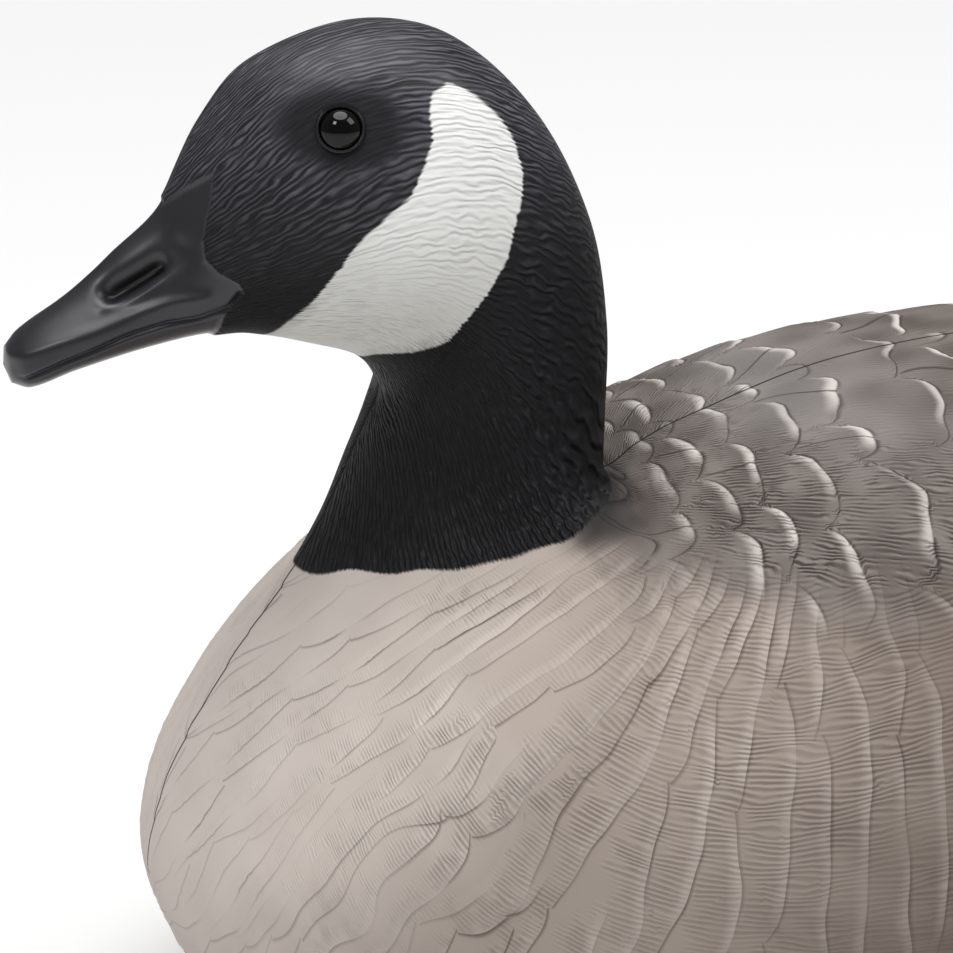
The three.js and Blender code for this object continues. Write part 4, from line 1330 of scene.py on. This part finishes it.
# %% Colours of the back, wing tips and tail
BACK, BACK_DARK, BACK_GREY = srgb(124, 116, 111), srgb(82, 74, 70), srgb(146, 141, 140)
PALE_TIP, LINE_AND_GROOVE_SHADE = srgb(212, 205, 200), srgb(48, 43, 42)
BLADE_BROWN, BLADE_RIM, TAIL_BLACK = srgb(62, 56, 54), srgb(112, 104, 99), srgb(44, 41, 42)
back = p.blend((swell * 0.3 - wing_barbs * 0.8 + 0.5).ramp(0.0, 1.0), BACK_DARK, BACK)
back = p.blend(z_mm.ramp(164.0, 178.0) * y_mm.ramp(240.0, 180.0) * 0.55, back, BACK_GREY)
crescent = before_wing.ramp(3.6, 0.9) * before_wing.ramp(0.0, 0.5)
crescent = crescent * off_wing_in.ramp(-0.32, 0.02) * off_wing_in.ramp(0.48, 0.33)
crescent = crescent * (0.50 + chance_wing * 0.4) * y_mm.ramp(140.0, 170.0) * off_joint
back = p.blend(crescent * (1 - blade_in * 0.85), back, PALE_TIP)
# Painted shade in the groove in front of each tip of the back; the same dark colour draws barbs and
# shafts
back = p.blend(wing_groove_shade * 0.9, back, LINE_AND_GROOVE_SHADE)
back = p.blend(wing_barbs.ramp(0.15, 0.9) * 0.55, back, LINE_AND_GROOVE_SHADE)
back = p.blend(shaft * 0.7, back, LINE_AND_GROOVE_SHADE)
blade_colour = p.blend(p.field("from_rim").ramp(1.3, 0.5), BLADE_BROWN, BLADE_RIM)
back = p.blend(blade_in * y_mm.ramp(398, 436) * 0.9, back, blade_colour)
rump = (y_mm - 462 + wing_barbs * 2).ramp(-2.0, 2.0) * (1 - blade_in)
back = p.blend(rump, back, VENT_WHITE)
airbrushed = (wing_in + swell * 3 + 1.0).ramp(-9.0, 5.0)
colour = p.blend(airbrushed, colour, back)
tail = (y_mm + wing_barbs * 1.5 - 500).ramp(-1.5, 1.5)
colour = p.blend(tail, colour, TAIL_BLACK)
print("nodes so far:", len(p.tree.nodes))

# %% [markdown]
# Flat black comes next, over head and neck, with a smudge where it was blown past the foot of the
# neck. The white cheek, the bill and the seam are last. The tips of the hairs are painted greyer,
# most towards the top of the head, as a painted sheen where the light from above falls. The bill has a
# thin coat of gloss.

# %% Colours of the head and the gloss
BLACK, HAIR_TIP_SHEEN, SEAM_BLACK = srgb(13, 12, 16), srgb(94, 93, 101), srgb(20, 18, 18)
BILL_BLACK, NOSTRIL_SHADE_BLACK = srgb(32, 31, 36), srgb(4, 4, 5)
WHITE, SHADED_WHITE = srgb(232, 232, 230), srgb(205, 205, 200)
upper_head = z_mm.ramp(206.0, 256.0)
# Hair tips painted greyer, more so towards the top of the head: a painted sheen of the light from
# above
coat = (hair * 0.7 + fine_hair * 0.25 + upper_head * 0.35).ramp(-0.3, 1.1)
coat = p.blend(coat * (0.08 + upper_head * 0.90) * (1 - smooth_patch * 0.8), BLACK, HAIR_TIP_SHEEN)
smudge = (neck_in + swell * 1.2).ramp(-5.0, -0.5) * y_mm.ramp(124.0, 138.0) * y_mm.ramp(157.0, 149.0)
colour = p.blend(smudge * 0.85, colour, BLACK)
colour = p.blend(neck_mask, colour, coat)
colour = p.blend(cheek_mask, colour, p.blend(z_mm.ramp(190.0, 250.0), SHADED_WHITE, WHITE))
colour = p.blend(bill_mask, colour, BILL_BLACK)
# The nostril is painted blacker, as painted shade in its hollow
colour = p.blend(p.field("nostril").ramp(2.4, 1.2) * bill_mask, colour, NOSTRIL_SHADE_BLACK)
colour = p.blend(lid_mask, colour, BLACK)
colour = p.blend(seam * 0.9, colour, SEAM_BLACK)
p.feed(p.shader.inputs["Base Color"], colour)
dull = 0.74 - neck_mask * (0.14 - smooth_patch * 0.16) - bill_mask * 0.22 - lid_mask * 0.35
p.feed(p.shader.inputs["Roughness"], dull)
p.shader.inputs["Specular IOR Level"].default_value = 0.25
p.shader.inputs["Coat Roughness"].default_value = 0.33
coat_weight = bill_mask * 0.55 + upper_head * neck_mask * (1 - smooth_patch) * 0.30 + lid_mask * 0.3
p.feed(p.shader.inputs["Coat Weight"], coat_weight)
print("nodes so far:", len(p.tree.nodes))

# %% [markdown]
# Hair and barbs are well under a millimetre deep and finer than the mesh, so they go into a bump.
# It is fed with a height in metres, so its strength and distance stay at one.

# %% Fine relief in the bump, in metres
hair_depth = (0.32 + on_neck * 0.55) * (1 - cheek_mask * 0.45)
coat_height = (hair * hair_depth + fine_hair * 0.08) * neck_mask
coat_height = coat_height * (1 - bill_mask) * (1 - lid_mask)
body_height = body_barbs * 0.145
wing_height = wing_barbs * 0.26
height = coat_height + body_height + wing_height - seam * 0.45
bump = p.node("ShaderNodeBump", {}, {"Height": height * 0.001, "Strength": 1.0, "Distance": 1.0})
p.feed(p.shader.inputs["Normal"], bump)
hull.data.materials.clear()
hull.data.materials.append(p.material)
print("nodes in the paint:", len(p.tree.nodes))

# %% [markdown]
# ## The eyes' finish
# The eye is nearly black with a blacker pupil, and it is the glossiest thing on the bird. One small
# bright reflection in it does more for a lively look than any other detail.

# %% The eye's material
q = Paint("eye_glass")
eye_places = q.node("ShaderNodeTexCoord", output="Object")
eye_sides = q.node("ShaderNodeSeparateXYZ", {}, {"Vector": eye_places}).output.node.outputs
left_x = Value(q, eye_sides["X"]).size()
on_left = q.point(left_x, Value(q, eye_sides["Y"]), Value(q, eye_sides["Z"]))
apex = tuple(eye_seat + DOME_HEIGHT * eye_way)
from_apex = q.node("ShaderNodeVectorMath", {"operation": "DISTANCE"},
                   {0: on_left, 1: apex}, output="Value") * 1000
iris = q.blend(from_apex.ramp(2.9, 2.6), srgb(9, 6, 5), srgb(2, 2, 2))
iris = q.blend(from_apex.ramp(4.2, 4.8), iris, srgb(2, 2, 2))
q.feed(q.shader.inputs["Base Color"], iris)
q.shader.inputs["Roughness"].default_value = 0.04
q.shader.inputs["Specular IOR Level"].default_value = 0.28
for eye in eyes.values():
    eye.data.materials.clear()
    eye.data.materials.append(q.material)

# %% [markdown]
# ## The floor's finish
# The floor is plain and pale, so that nothing is seen but the bird and its shadow.

# %% The floor's paint
r = Paint("pale_floor")
r.shader.inputs["Base Color"].default_value = (0.85, 0.85, 0.85, 1)
r.shader.inputs["Roughness"].default_value = 0.9
floor.data.materials.append(r.material)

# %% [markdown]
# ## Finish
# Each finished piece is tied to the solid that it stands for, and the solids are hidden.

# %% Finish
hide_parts("decoy_body")
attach(hull, "root")
for side, eye in eyes.items():
    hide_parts("eye_" + side)
    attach(eye, "root")
